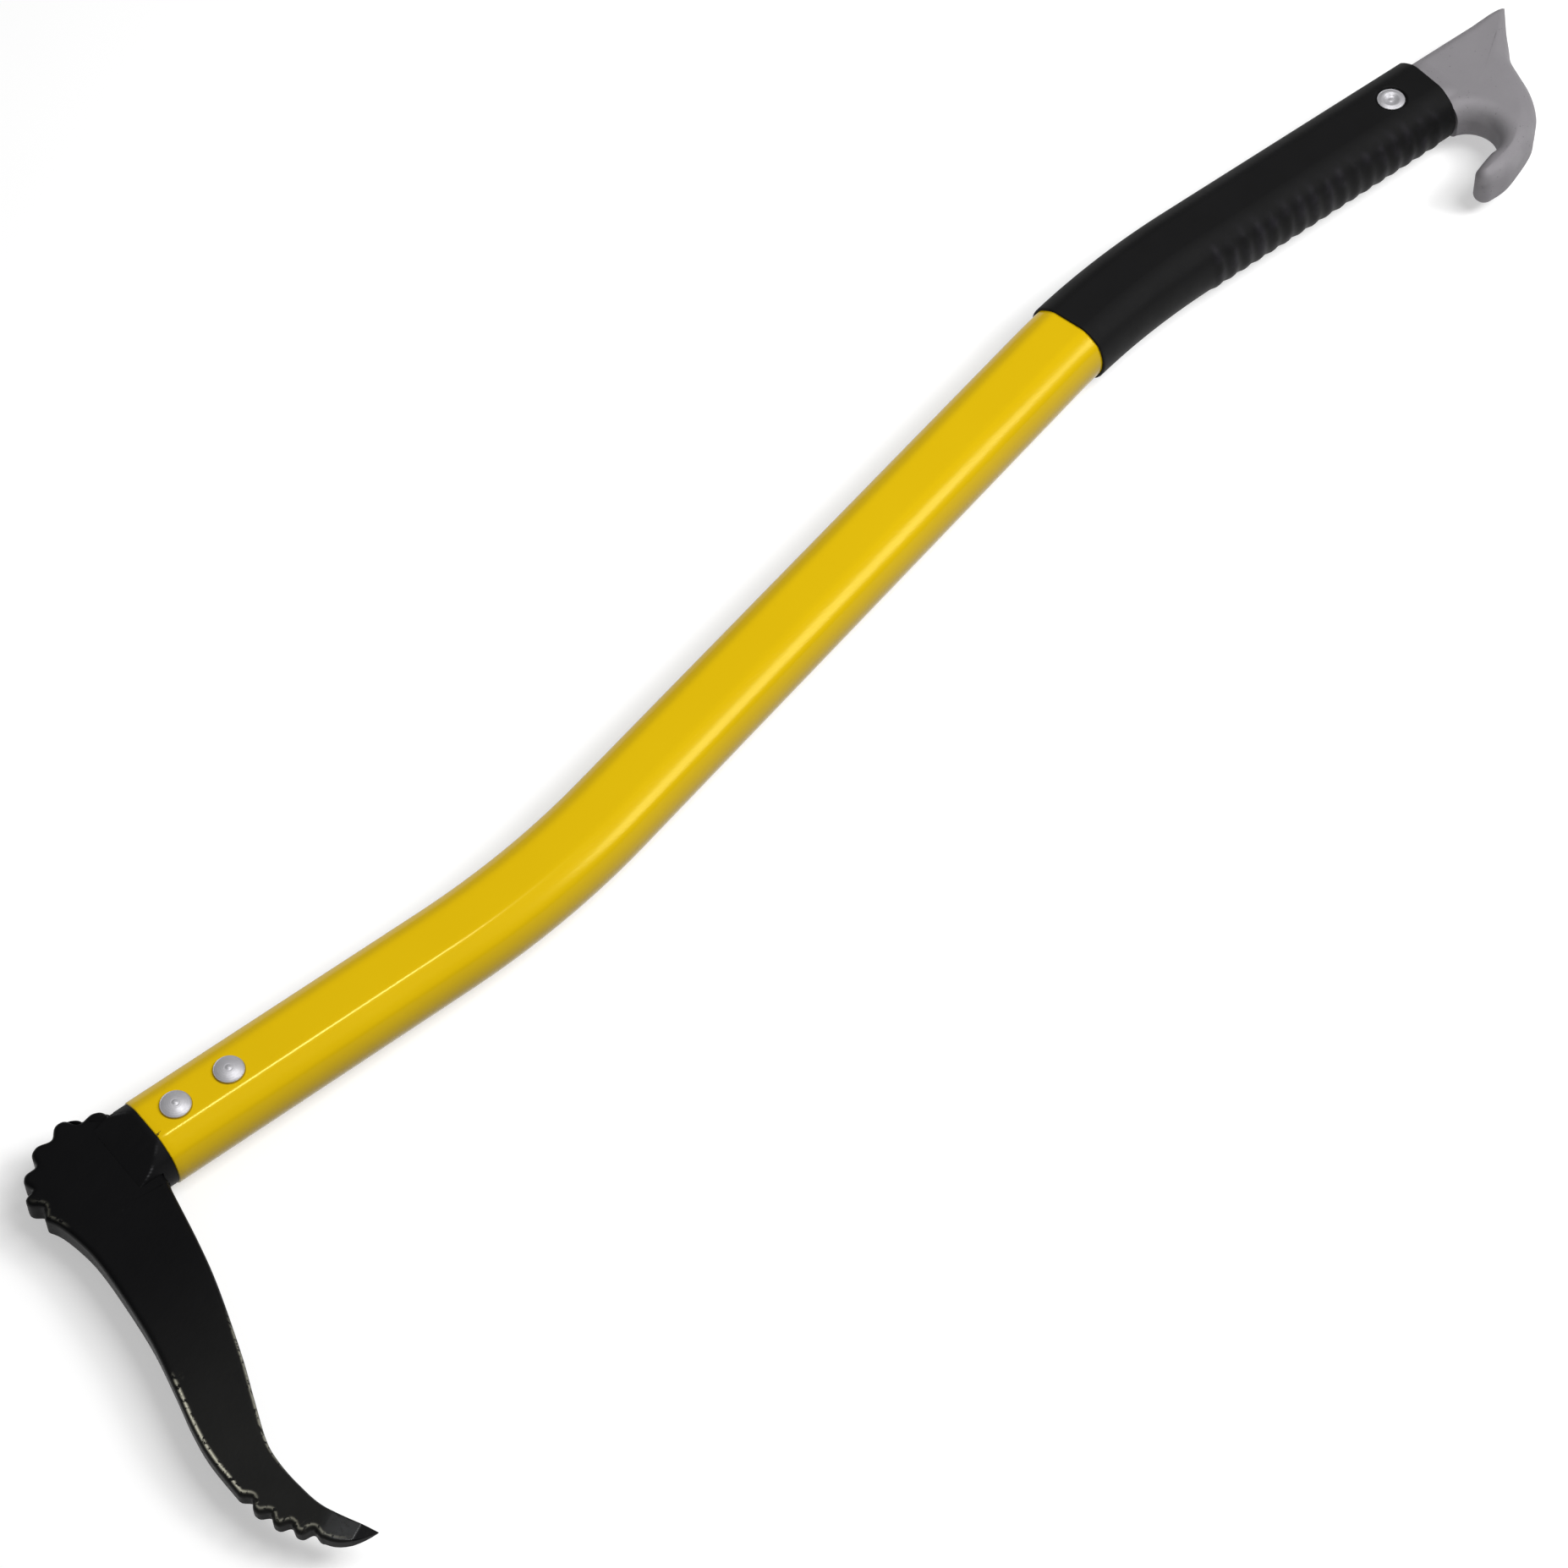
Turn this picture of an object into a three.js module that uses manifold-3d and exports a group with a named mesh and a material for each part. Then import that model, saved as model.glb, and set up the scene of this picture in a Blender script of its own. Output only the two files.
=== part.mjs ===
// Hand sappie: a forged steel hook riveted to a bent aluminium handle with a rubber grip and a cast end hook.
// Millimetres. X runs along the handle's two end stretches, from the hook towards the grip. Y runs across the
// tool, away from the hook's point. Z is up as the tool lies on its side. Every piece is drawn from the middle
// of the handle's mouth, and the whole tool is then set down with the origin under its middle.
import * as THREE from "three";
import { mergeVertices } from "three/addons/utils/BufferGeometryUtils.js";
import Module from "manifold-3d";

// Clearances
const overrun = 3; // how far a cut runs past the face that it opens
const slideGap = 0.2; // round a piece that slides into another
const seatGap = 0.05; // between two flat faces that bear on each other

// Handle tube: a rounded section, bent twice in its own plane
const tubeWidth = 31;
const tubeThickness = 24;
const tubeCorner = 9.5;
const tubeWall = 2;
const headStretch = 114;
const middleStretch = 242;
const gripStretch = 113.5;
const bendRadius = 320;
const bendDegrees = 13.5;

// Forged head: one plate with a scalloped poll, a tapering hook and a tang
const headThickness = 10;
const headEdgeRound = 1.9;
const tangWidth = 20;
const tangLength = 44;
const shoulderSetback = 4.5; // from the handle's mouth to the shoulders beside the tang
const pollHollowDepth = 2.8;
const hookReach = 156; // from the handle's centre line to the point
const hookTipThickness = 6.4; // where the ground faces of the point begin
const serrations = 4;
const serrationDepth = 2.3;
const pointLength = 15; // ground on both faces, measured back from the point
const pointThickness = 2.2;
const bevelLength = 5.5; // ground again, steeper, at the very point
const bevelThickness = 0.6;

// Nylon adapter: a plug in the handle's mouth that grips the tang, with ramps down to the head's faces
const rampLength = 13;
const collarInset = 0.4; // how much smaller than the handle's section the adapter is outside it
const rampLip = 0.4; // thickness left where a ramp ends on the head
const rampTrim = 12.8; // from the handle's centre line to the ramps' flat side at the poll
const rampSetback = 0.8; // from the handle's mouth to the top of a ramp
const plugLength = 47;

// Rivets: domed solid rivets, set from both sides
const rivetHeadRadius = 5.1;
const rivetHeadHeight = 1.9;
const rivetShankRadius = 3;
const headRivetSetback = 11; // from the handle's mouth to the first head rivet
const headRivetPitch = 20.4;
const gripRivetSetback = 16.5; // from the handle's far end to the grip rivet
const gripRivetHole = 5.7; // radius of the hole in the rubber round the grip rivet's head

// Rubber grip: a sleeve over the last stretch, ribbed on its finger side, with a lip round the end hook's neck
const gripWall = 1;
const gripLength = 175.5; // over the tube, without the end lip
const gripLip = 1.8;
const gripEndRound = 0.9;
const gripRimRound = 0.5;
const gripRibs = 15;
const gripRibPitch = 6.5;
const gripRibHeight = 0.75;
const gripRibSetback = 7.5; // from the handle's far end to the last rib

// Cast end hook: a flat casting on a spigot, with a pointed heel above and a curled finger hook below
const castThickness = 16;
const castEdgeRound = 4.2;
const castTipRound = 2.4; // at the finger's tip and the heel's point
const spigotLength = 34;
const heelReach = 49.3; // from the neck's start to the heel's point
const heelRise = 13; // from the handle's centre line to the heel's straight edge
const throatRadius = 10.2;
const throatDrop = 26.7; // from the handle's centre line to the throat's middle
const throatSetback = 2.9; // from the neck's start back to the throat's middle
const fingerTipRadius = 3.9;
const fingerTipDrop = 43.7;
const fingerTipSetback = 11.4;
const neckBlend = 11; // length over which the neck's round section flattens into the casting

// Outlines, as shares of the sizes that they follow, chosen by hand
const pollTipShares = [[0, 0.0925], [-0.052, 0.119], [-0.125, 0.146], [-0.201, 0.124], [-0.253, 0.08],
  [-0.279, 0.03], [-0.271, -0.03]];
const hookBackShares = [[-0.2585, -0.0565], [-0.2485, -0.105], [-0.2435, -0.165], [-0.248, -0.255],
  [-0.262, -0.385], [-0.2855, -0.499], [-0.308, -0.5945], [-0.319, -0.6725], [-0.3195, -0.767]];
const serratedBendShare = [-0.3155, -0.879];
const serratedEndShare = [-0.2435, -0.95];
const pointBellyShare = [-0.2235, -0.993];
const pointShare = [-0.152, -1];
const hookThroatShares = [[-0.2, -0.903], [-0.214, -0.8225], [-0.2155, -0.753], [-0.2065, -0.702],
  [-0.175, -0.618], [-0.139, -0.5245], [-0.0885, -0.37], [-0.0615, -0.263], [-0.034, -0.126]];
const hookTaperStartShare = 0.35;
const hookTaperEndShare = 0.9;
const heelEdgeShares = [[-0.072, -0.9655], [0.096, -0.921], [0.269, -0.85], [0.37, -0.775],
  [0.4615, -0.694], [0.5425, -0.582], [0.601, -0.4645], [0.648, -0.325], [0.701, -0.176], [0.776, -0.065],
  [0.866, 0.067], [1.01, 0.24]];
const ribFlankShare = 0.55; // how far round the sides the ribs reach before they fade out

// Fineness of round stretches
const cornerSteps = 3;
const hollowSteps = 9;
const edgeSteps = 3;
const ribSteps = 4;
const rivetSides = 24;
const domeSteps = 5;
const bendSteps = 6;
const throatSteps = 14;

const wasm = await Module();
wasm.setup();

// A closed geometry as a solid that can be joined and cut.
function solidOf(geometry) {
  const bare = geometry.clone();
  bare.deleteAttribute("normal");
  bare.deleteAttribute("uv");
  const merged = mergeVertices(bare);
  const vertProperties = merged.attributes.position.array;
  const triVerts = new Uint32Array(merged.index.array);
  return new wasm.Manifold(new wasm.Mesh({ numProp: 3, vertProperties, triVerts }));
}

// A solid as a geometry again.
function geometryOf(solid) {
  const { vertProperties, triVerts } = solid.getMesh();
  const geometry = new THREE.BufferGeometry();
  geometry.setAttribute("position", new THREE.BufferAttribute(vertProperties, 3));
  geometry.setIndex(new THREE.BufferAttribute(triVerts, 1));
  geometry.computeVertexNormals();
  return geometry;
}

// A square block between two corners.
function block(low, high) {
  const size = high.clone().sub(low);
  const middle = high.clone().add(low).multiplyScalar(1 / 2);
  return new THREE.BoxGeometry(size.x, size.y, size.z).translate(middle.x, middle.y, middle.z);
}

// A round bar along Z through the tool, for a hole.
function crossBar(radius, x, y, length) {
  return new THREE.CylinderGeometry(radius, radius, length, rivetSides)
    .rotateX(Math.PI / 2)
    .translate(x, y, 0);
}

// A rectangle with round corners, about the origin. It is added to a shape or to a hole in one.
function roundedRectangle(path, width, height, corner) {
  const x = width / 2 - corner;
  const y = height / 2 - corner;
  const quarter = Math.PI / 2;
  path.absarc(x, y, corner, 0, quarter);
  path.absarc(-x, y, corner, quarter, 2 * quarter);
  path.absarc(-x, -y, corner, 2 * quarter, 3 * quarter);
  path.absarc(x, -y, corner, 3 * quarter, 4 * quarter);
  path.closePath();
  return path;
}

// The handle's section grown on all sides, or shrunk if the growth is negative. X is the thickness.
function tubeSection(path, growth) {
  return roundedRectangle(path, tubeThickness + 2 * growth, tubeWidth + 2 * growth, tubeCorner + growth);
}

const bendAngle = THREE.MathUtils.degToRad(bendDegrees);
const bendLength = bendRadius * bendAngle;
const tubeLength = headStretch + middleStretch + gripStretch + 2 * bendLength;

// The point and heading of the handle's centre line at a distance from its mouth.
function handleAt(distance) {
  const { clamp } = THREE.MathUtils;
  const firstTurn = clamp(distance - headStretch, 0, bendLength) / bendRadius;
  const middle = clamp(distance - headStretch - bendLength, 0, middleStretch);
  const secondTurn = clamp(distance - headStretch - bendLength - middleStretch, 0, bendLength) / bendRadius;
  const last = Math.max(distance - tubeLength + gripStretch, 0);
  const heading = firstTurn - secondTurn;
  const x = Math.min(distance, headStretch) + middle * Math.cos(bendAngle) + last
    + bendRadius * (Math.sin(firstTurn) + Math.sin(bendAngle) - Math.sin(bendAngle - secondTurn));
  const y = middle * Math.sin(bendAngle)
    + bendRadius * (1 - Math.cos(firstTurn) + Math.cos(bendAngle - secondTurn) - Math.cos(bendAngle));
  return { x, y, heading };
}

const handleEnd = handleAt(tubeLength);

// Distances along the handle at which its skin needs a ring: both ends and every step of the bends.
function stations(from, to) {
  const bendStarts = [headStretch, headStretch + bendLength + middleStretch];
  const steps = Array.from({ length: bendSteps + 1 }, (unused, step) => (step * bendLength) / bendSteps);
  const inside = bendStarts.flatMap((start) => steps.map((step) => start + step));
  return [from, ...inside.filter((distance) => distance > from && distance < to), to];
}

// A closed ring of points round the handle, where its section is grown by a wall and each point is then moved
// away from the centre line by what the given function says.
function ringAt(distance, wall, raise = () => 0) {
  const { x, y, heading } = handleAt(distance);
  const section = tubeSection(new THREE.Shape(), wall).getPoints(cornerSteps);
  section.pop();
  return section.map((point) => {
    const reach = 1 + raise(point) / point.length();
    const across = point.y * reach;
    const up = -point.x * reach;
    return new THREE.Vector3(x - Math.sin(heading) * across, y + Math.cos(heading) * across, up);
  });
}

// A length of the handle's section as a solid bar that follows the bends.
function handleBar(growth, from, to) {
  return solidOf(loft(stations(from, to).map((distance) => ringAt(distance, growth))));
}

// A straight bar with the handle's section, from one x to another, on the centre line of the given y.
function straightBar(growth, from, to, y) {
  const rings = [from, to].map((x) => ringAt(0, growth).map((point) => point.add(new THREE.Vector3(x, y, 0))));
  return solidOf(loft(rings));
}

// Rings of points joined into one closed skin, with a fan over each end.
function loft(rings) {
  const sides = rings[0].length;
  const middleOf = (ring) => ring.reduce((sum, point) => sum.add(point), new THREE.Vector3())
    .divideScalar(sides);
  const points = [...rings.flat(), middleOf(rings[0]), middleOf(rings[rings.length - 1])];
  const firstMiddle = rings.length * sides;
  const faces = [];
  for (let side = 0; side < sides; side += 1) {
    const next = (side + 1) % sides;
    for (let ring = 0; ring < rings.length - 1; ring += 1) {
      const here = ring * sides;
      const there = here + sides;
      faces.push(here + side, here + next, there + side);
      faces.push(here + next, there + next, there + side);
    }
    const last = firstMiddle - sides;
    faces.push(firstMiddle, next, side);
    faces.push(firstMiddle + 1, last + side, last + next);
  }
  const geometry = new THREE.BufferGeometry().setFromPoints(points);
  geometry.setIndex(faces);
  return geometry;
}

// A flat forging or casting: an outline with a thickness and a round edge that may both change over it.
function roundedPlate(outline, halfAt, roundAt) {
  const count = outline.length;
  const inward = outline.map((point, index) => {
    const before = outline[(index + count - 1) % count];
    const after = outline[(index + 1) % count];
    const into = point.clone().sub(before).normalize();
    const onward = after.clone().sub(point).normalize();
    const along = into.clone().add(onward).normalize();
    const widening = 1 / Math.max(along.dot(onward), Math.SQRT1_2);
    return new THREE.Vector2(-along.y, along.x).multiplyScalar(widening);
  });
  const edge = [];
  for (let step = -edgeSteps; step <= edgeSteps; step += 1) {
    const tilt = (step / edgeSteps) * (Math.PI / 2);
    if (step === 0) edge.push({ tilt, side: -1 }, { tilt, side: 1 });
    else edge.push({ tilt, side: Math.sign(step) });
  }
  const rings = edge.map(({ tilt, side }) => outline.map((point, index) => {
    const round = roundAt(point);
    const place = point.clone().addScaledVector(inward[index], round * (1 - Math.cos(tilt)));
    const z = side * (halfAt(point) - round) + round * Math.sin(tilt);
    return new THREE.Vector3(place.x, place.y, z);
  }));
  const faces = [];
  const triangles = THREE.ShapeUtils.triangulateShape(outline, []);
  const top = (rings.length - 1) * count;
  triangles.forEach(([a, b, c]) => {
    faces.push(c, b, a);
    faces.push(top + a, top + b, top + c);
  });
  for (let ring = 0; ring < rings.length - 1; ring += 1) {
    for (let index = 0; index < count; index += 1) {
      const next = (index + 1) % count;
      const here = ring * count;
      const there = here + count;
      faces.push(here + index, here + next, there + index);
      faces.push(here + next, there + next, there + index);
    }
  }
  const geometry = new THREE.BufferGeometry().setFromPoints(rings.flat());
  geometry.setIndex(faces);
  return geometry;
}

// Points along a curve with a row of hollows pressed in, to the left of its direction. Between the hollows
// stand round lobes. Lobes are numbered along the curve, and the row may start half-way between two of them.
function scalloped(curve, lobes, from, depth) {
  const steps = Math.round((lobes - from) * hollowSteps);
  return Array.from({ length: steps + 1 }, (unused, step) => {
    const lobe = from + step / hollowSteps;
    const hollow = Math.abs(Math.sin(Math.PI * lobe)) ** 3;
    const tangent = curve.getTangent(lobe / lobes);
    return curve.getPoint(lobe / lobes).addScaledVector(new THREE.Vector2(-tangent.y, tangent.x), depth * hollow);
  });
}

// A point given as shares of one size.
const scaled = (size) => ([x, y]) => new THREE.Vector2(x * size, y * size);

// The head's outline, counter-clockwise: tang, scalloped poll, back, serrations, point and throat.
function headOutline() {
  const onHook = scaled(hookReach);
  const half = tangWidth / 2;
  const poll = new THREE.SplineCurve(pollTipShares.map(onHook));
  const pollPoints = scalloped(poll, pollTipShares.length - 1, 1 / 2, pollHollowDepth);
  const back = new THREE.SplineCurve([pollPoints[pollPoints.length - 1], ...hookBackShares.map(onHook)]);
  const point = onHook(pointShare);
  const serrated = new THREE.QuadraticBezierCurve(
    onHook(hookBackShares.at(-1)),
    onHook(serratedBendShare),
    onHook(serratedEndShare),
  );
  const belly = new THREE.QuadraticBezierCurve(onHook(serratedEndShare), onHook(pointBellyShare), point);
  const shoulder = new THREE.Vector2(-shoulderSetback, onHook(hookThroatShares.at(-1)).y + headEdgeRound);
  const throat = new THREE.SplineCurve([point, ...hookThroatShares.map(onHook), shoulder]);
  return [
    new THREE.Vector2(tangLength, -half),
    new THREE.Vector2(tangLength, half),
    new THREE.Vector2(-shoulderSetback, half),
    ...pollPoints,
    ...back.getPoints(hookBackShares.length * 2).slice(1, -1),
    ...scalloped(serrated, serrations, 0, serrationDepth),
    ...belly.getPoints(5).slice(1),
    ...throat.getPoints(hookThroatShares.length * 3).slice(1),
    new THREE.Vector2(-shoulderSetback, -half),
  ];
}

// The hook's point ground on both faces over a length, down to a thickness at the very point.
function ground(head, length, startThickness, endThickness) {
  const point = scaled(hookReach)(pointShare);
  const inner = scaled(hookReach)(hookThroatShares[0]);
  const along = point.clone().sub(inner);
  const fall = (startThickness - endThickness) / 2 / length;
  const wedge = new THREE.Shape();
  wedge.moveTo(-length, startThickness / 2);
  wedge.lineTo(overrun, endThickness / 2 - fall * overrun);
  wedge.lineTo(overrun, headThickness);
  wedge.lineTo(-length, headThickness);
  wedge.closePath();
  const cutter = new THREE.ExtrudeGeometry(wedge, { depth: hookReach, bevelEnabled: false })
    .translate(0, 0, -hookReach / 2)
    .rotateX(Math.PI / 2)
    .rotateZ(along.angle())
    .translate(point.x, point.y, 0);
  const above = solidOf(cutter);
  return head.subtract(above).subtract(above.mirror([0, 0, 1]));
}

function hookHead() {
  const point = scaled(hookReach)(pointShare);
  const full = headThickness / 2;
  const thin = hookTipThickness / 2;
  const halfAt = ({ y }) => {
    const taper = THREE.MathUtils.smoothstep(-y, hookTaperStartShare * hookReach, hookTaperEndShare * hookReach);
    return THREE.MathUtils.lerp(full, thin, taper);
  };
  const roundAt = (place) => {
    const sharpening = THREE.MathUtils.smoothstep(place.distanceTo(point), 0, pointLength + headThickness);
    return headEdgeRound * Math.max(sharpening, seatGap);
  };
  const forging = solidOf(roundedPlate(headOutline(), halfAt, roundAt));
  const holes = headRivetPlaces().map((x) => solidOf(crossBar(holeRadius, x, 0, headThickness + 2 * overrun)));
  const bevelStart = THREE.MathUtils.lerp(pointThickness, hookTipThickness, bevelLength / pointLength);
  const once = ground(forging, pointLength, hookTipThickness, pointThickness);
  const twice = ground(once, bevelLength, bevelStart, bevelThickness);
  return geometryOf(holes.reduce((body, hole) => body.subtract(hole), twice));
}

const holeRadius = rivetShankRadius + slideGap;

function headRivetPlaces() {
  return [headRivetSetback, headRivetSetback + headRivetPitch];
}

const gripRivetPlace = handleEnd.x - gripRivetSetback;

// The adapter is drawn as the handle's section, cut from the side to its ramps, joined to the plug.
function headAdapter() {
  const half = tubeThickness / 2 - collarInset;
  const low = headThickness / 2 + slideGap + rampLip;
  const side = new THREE.Shape();
  side.moveTo(-rampLength, -low);
  side.lineTo(-rampSetback, -half);
  side.lineTo(-seatGap, -half);
  side.lineTo(-seatGap, half);
  side.lineTo(-rampSetback, half);
  side.lineTo(-rampLength, low);
  side.closePath();
  const ramps = new THREE.ExtrudeGeometry(side, { depth: tubeWidth + 2 * overrun, bevelEnabled: false })
    .rotateX(Math.PI / 2)
    .translate(0, tubeWidth / 2 + overrun, 0);
  const collar = straightBar(-collarInset, -rampLength - overrun, overrun, 0).intersect(solidOf(ramps));
  const plug = straightBar(-tubeWall - slideGap, -shoulderSetback, plugLength, 0);
  const slotHalf = tangWidth / 2 + slideGap;
  const slotThick = headThickness / 2 + slideGap;
  const tangSlot = block(
    new THREE.Vector3(-rampLength - overrun, -slotHalf, -slotThick),
    new THREE.Vector3(plugLength + overrun, slotHalf, slotThick),
  );
  const plateSlot = block(
    new THREE.Vector3(-rampLength - overrun, -tubeWidth, -slotThick),
    new THREE.Vector3(-shoulderSetback + slideGap, tubeWidth, slotThick),
  );
  const pollSide = block(
    new THREE.Vector3(-rampLength - overrun, rampTrim, -tubeThickness),
    new THREE.Vector3(-shoulderSetback, tubeWidth, tubeThickness),
  );
  const holes = headRivetPlaces().map((x) => solidOf(crossBar(holeRadius, x, 0, tubeThickness + overrun)));
  const cuts = [solidOf(tangSlot), solidOf(plateSlot), solidOf(pollSide), ...holes];
  return geometryOf(cuts.reduce((body, cut) => body.subtract(cut), collar.add(plug)));
}

function handleTube() {
  const hollow = handleBar(0, 0, tubeLength)
    .subtract(handleBar(-tubeWall, -overrun, tubeLength + overrun));
  const length = tubeThickness + 2 * overrun;
  const places = [...headRivetPlaces().map((x) => [x, 0]), [gripRivetPlace, handleEnd.y]];
  const holes = places.map(([x, y]) => solidOf(crossBar(holeRadius, x, y, length)));
  return geometryOf(holes.reduce((body, hole) => body.subtract(hole), hollow));
}

// A solid rivet through the handle: a shank with a low domed head on each side.
function rivet(x, y) {
  const seat = tubeThickness / 2 + seatGap;
  const domeRadius = (rivetHeadRadius ** 2 + rivetHeadHeight ** 2) / (2 * rivetHeadHeight);
  const domeMiddle = seat + rivetHeadHeight - domeRadius;
  const rim = Math.asin(rivetHeadRadius / domeRadius);
  const dome = new THREE.EllipseCurve(0, domeMiddle, domeRadius, domeRadius, Math.PI / 2 - rim, Math.PI / 2);
  const upper = [new THREE.Vector2(rivetShankRadius, seat), ...dome.getPoints(domeSteps)];
  upper[upper.length - 1].x = 0;
  const lower = upper.map((point) => new THREE.Vector2(point.x, -point.y)).reverse();
  return new THREE.LatheGeometry([...lower, ...upper], rivetSides)
    .rotateX(Math.PI / 2)
    .translate(x, y, 0);
}

// One ring of the grip's outside: the handle's section grown by the rubber, with the ribs on the finger side.
function gripRing(distance, wall) {
  const fromEnd = tubeLength - gripRibSetback + gripRibPitch / 2 - distance;
  const ribbed = fromEnd > 0 && fromEnd < gripRibs * gripRibPitch;
  const crest = ribbed ? (1 - Math.cos((2 * Math.PI * fromEnd) / gripRibPitch)) / 2 : 0;
  return ringAt(distance, wall, (point) => {
    const side = -point.y / (tubeWidth / 2);
    return gripRibHeight * crest * THREE.MathUtils.smoothstep(side, 0, ribFlankShare);
  });
}

function gripSleeve() {
  const start = tubeLength - gripLength;
  const end = tubeLength + gripLip;
  const ribsEnd = tubeLength - gripRibSetback + gripRibPitch / 2;
  const ribsStart = ribsEnd - gripRibs * gripRibPitch;
  const rim = [];
  const tail = [];
  for (let step = 0; step <= edgeSteps; step += 1) {
    const tilt = (step / edgeSteps) * (Math.PI / 2);
    const risen = 1 - Math.sin(tilt);
    const gone = 1 - Math.cos(tilt);
    rim.push(gripRing(start + gripRimRound * gone, gripWall - gripRimRound * risen));
    tail.push(gripRing(end - gripEndRound * risen, gripWall - gripEndRound * gone));
  }
  const plain = stations(start + gripRimRound, ribsStart).slice(1, -1);
  const rings = [...rim, ...plain.map((distance) => gripRing(distance, gripWall))];
  for (let step = 0; step <= gripRibs * ribSteps; step += 1) {
    rings.push(gripRing(ribsStart + (step * gripRibPitch) / ribSteps, gripWall));
  }
  const outside = solidOf(loft([...rings, ...tail]));
  const bore = handleBar(slideGap, start - overrun, tubeLength + seatGap);
  const neck = straightBar(slideGap - tubeWall, handleEnd.x - overrun, handleEnd.x + gripLip + overrun, handleEnd.y);
  const rivetHole = crossBar(gripRivetHole, gripRivetPlace, handleEnd.y, tubeThickness + 2 * gripWall + overrun);
  return geometryOf(outside.subtract(bore).subtract(neck).subtract(solidOf(rivetHole)));
}

// The end hook's outline, counter-clockwise from the lower side of its neck: the throat, the finger's tip, the
// outer edge up to the heel, and the straight edge back to the neck.
function castOutline(neckX) {
  const throat = new THREE.EllipseCurve(
    neckX - throatSetback,
    handleEnd.y - throatDrop,
    throatRadius,
    throatRadius,
    Math.acos(throatSetback / throatRadius),
    -Math.PI / 2,
    true,
  );
  const tip = new THREE.EllipseCurve(
    neckX - fingerTipSetback,
    handleEnd.y - fingerTipDrop,
    fingerTipRadius,
    fingerTipRadius,
    Math.PI * (2 / 3),
    Math.PI * (3 / 2),
  );
  const onHeel = (share) => scaled(heelReach)(share).add(new THREE.Vector2(neckX, handleEnd.y));
  const back = new THREE.SplineCurve([tip.getPoint(1), ...heelEdgeShares.map(onHeel)]);
  return [
    ...throat.getPoints(throatSteps),
    ...tip.getPoints(throatSteps / 2),
    ...back.getPoints(heelEdgeShares.length * 3).slice(1),
    new THREE.Vector2(neckX + heelReach - castTipRound, handleEnd.y + heelRise),
    new THREE.Vector2(neckX, handleEnd.y + heelRise),
  ];
}

// The end hook is a flat casting whose neck turns from the tube's bore into the flat, with a spigot behind it.
function endHook() {
  const neckX = handleEnd.x + gripLip + slideGap;
  const heel = scaled(heelReach)(heelEdgeShares.at(-1)).add(new THREE.Vector2(neckX, handleEnd.y));
  const finger = new THREE.Vector2(neckX - fingerTipSetback, handleEnd.y - fingerTipDrop);
  const halfAt = () => castThickness / 2;
  const roundAt = (place) => {
    const near = Math.min(place.distanceTo(heel), place.distanceTo(finger));
    const share = THREE.MathUtils.smoothstep(near, fingerTipRadius, castThickness);
    return THREE.MathUtils.lerp(castTipRound, castEdgeRound, share);
  };
  const casting = solidOf(roundedPlate(castOutline(neckX), halfAt, roundAt));
  const boreGrowth = -tubeWall - slideGap;
  const neckRing = (x, flatness) => {
    const flat = THREE.MathUtils.lerp(1, (castThickness - slideGap) / (tubeThickness + 2 * boreGrowth), flatness);
    const low = THREE.MathUtils.lerp(1, (heelRise - slideGap) / (tubeWidth / 2 + boreGrowth), flatness);
    return ringAt(0, boreGrowth).map(({ y, z }) => new THREE.Vector3(x, handleEnd.y + y * low, z * flat));
  };
  const spigot = solidOf(loft([
    neckRing(handleEnd.x - spigotLength, 0),
    neckRing(neckX, 0),
    neckRing(neckX + neckBlend, 1),
  ]));
  const hole = solidOf(crossBar(holeRadius, gripRivetPlace, handleEnd.y, tubeThickness));
  return geometryOf(casting.add(spigot).subtract(hole));
}

const blackPaintedSteel = new THREE.MeshStandardMaterial({ color: 0x151617, roughness: 0.42, metalness: 0.25 });
const blackNylon = new THREE.MeshStandardMaterial({ color: 0x1a1b1c, roughness: 0.5, metalness: 0 });
const yellowAluminium = new THREE.MeshStandardMaterial({ color: 0xd9b30f, roughness: 0.35, metalness: 0 });
const bareRivet = new THREE.MeshStandardMaterial({ color: 0xc9c9c7, roughness: 0.3, metalness: 0.9 });
const blackRubber = new THREE.MeshStandardMaterial({ color: 0x1b1b1b, roughness: 0.7, metalness: 0 });
const castAluminium = new THREE.MeshStandardMaterial({ color: 0x8d8c8d, roughness: 0.5, metalness: 0.6 });

function named(name, geometry, material) {
  const mesh = new THREE.Mesh(geometry, material.clone());
  mesh.name = name;
  return mesh;
}

const [frontRivetX, rearRivetX] = headRivetPlaces();
const sappie = new THREE.Group();
sappie.add(named("hook_head", hookHead(), blackPaintedSteel));
sappie.add(named("head_adapter", headAdapter(), blackNylon));
sappie.add(named("handle_tube", handleTube(), yellowAluminium));
sappie.add(named("head_rivet_front", rivet(frontRivetX, 0), bareRivet));
sappie.add(named("head_rivet_rear", rivet(rearRivetX, 0), bareRivet));
sappie.add(named("grip_sleeve", gripSleeve(), blackRubber));
sappie.add(named("grip_rivet", rivet(gripRivetPlace, handleEnd.y), bareRivet));
sappie.add(named("end_hook", endHook(), castAluminium));

// The tool is set down: its middle over the origin and its lowest point on the ground.
const bounds = new THREE.Box3().setFromObject(sappie);
const middle = bounds.getCenter(new THREE.Vector3());
const tool = new THREE.Group();
sappie.position.set(-middle.x, -middle.y, -bounds.min.z);
tool.add(sappie);

export default tool;
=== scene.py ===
import math

import bpy
import numpy as np
from mathutils import Matrix, Vector

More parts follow.
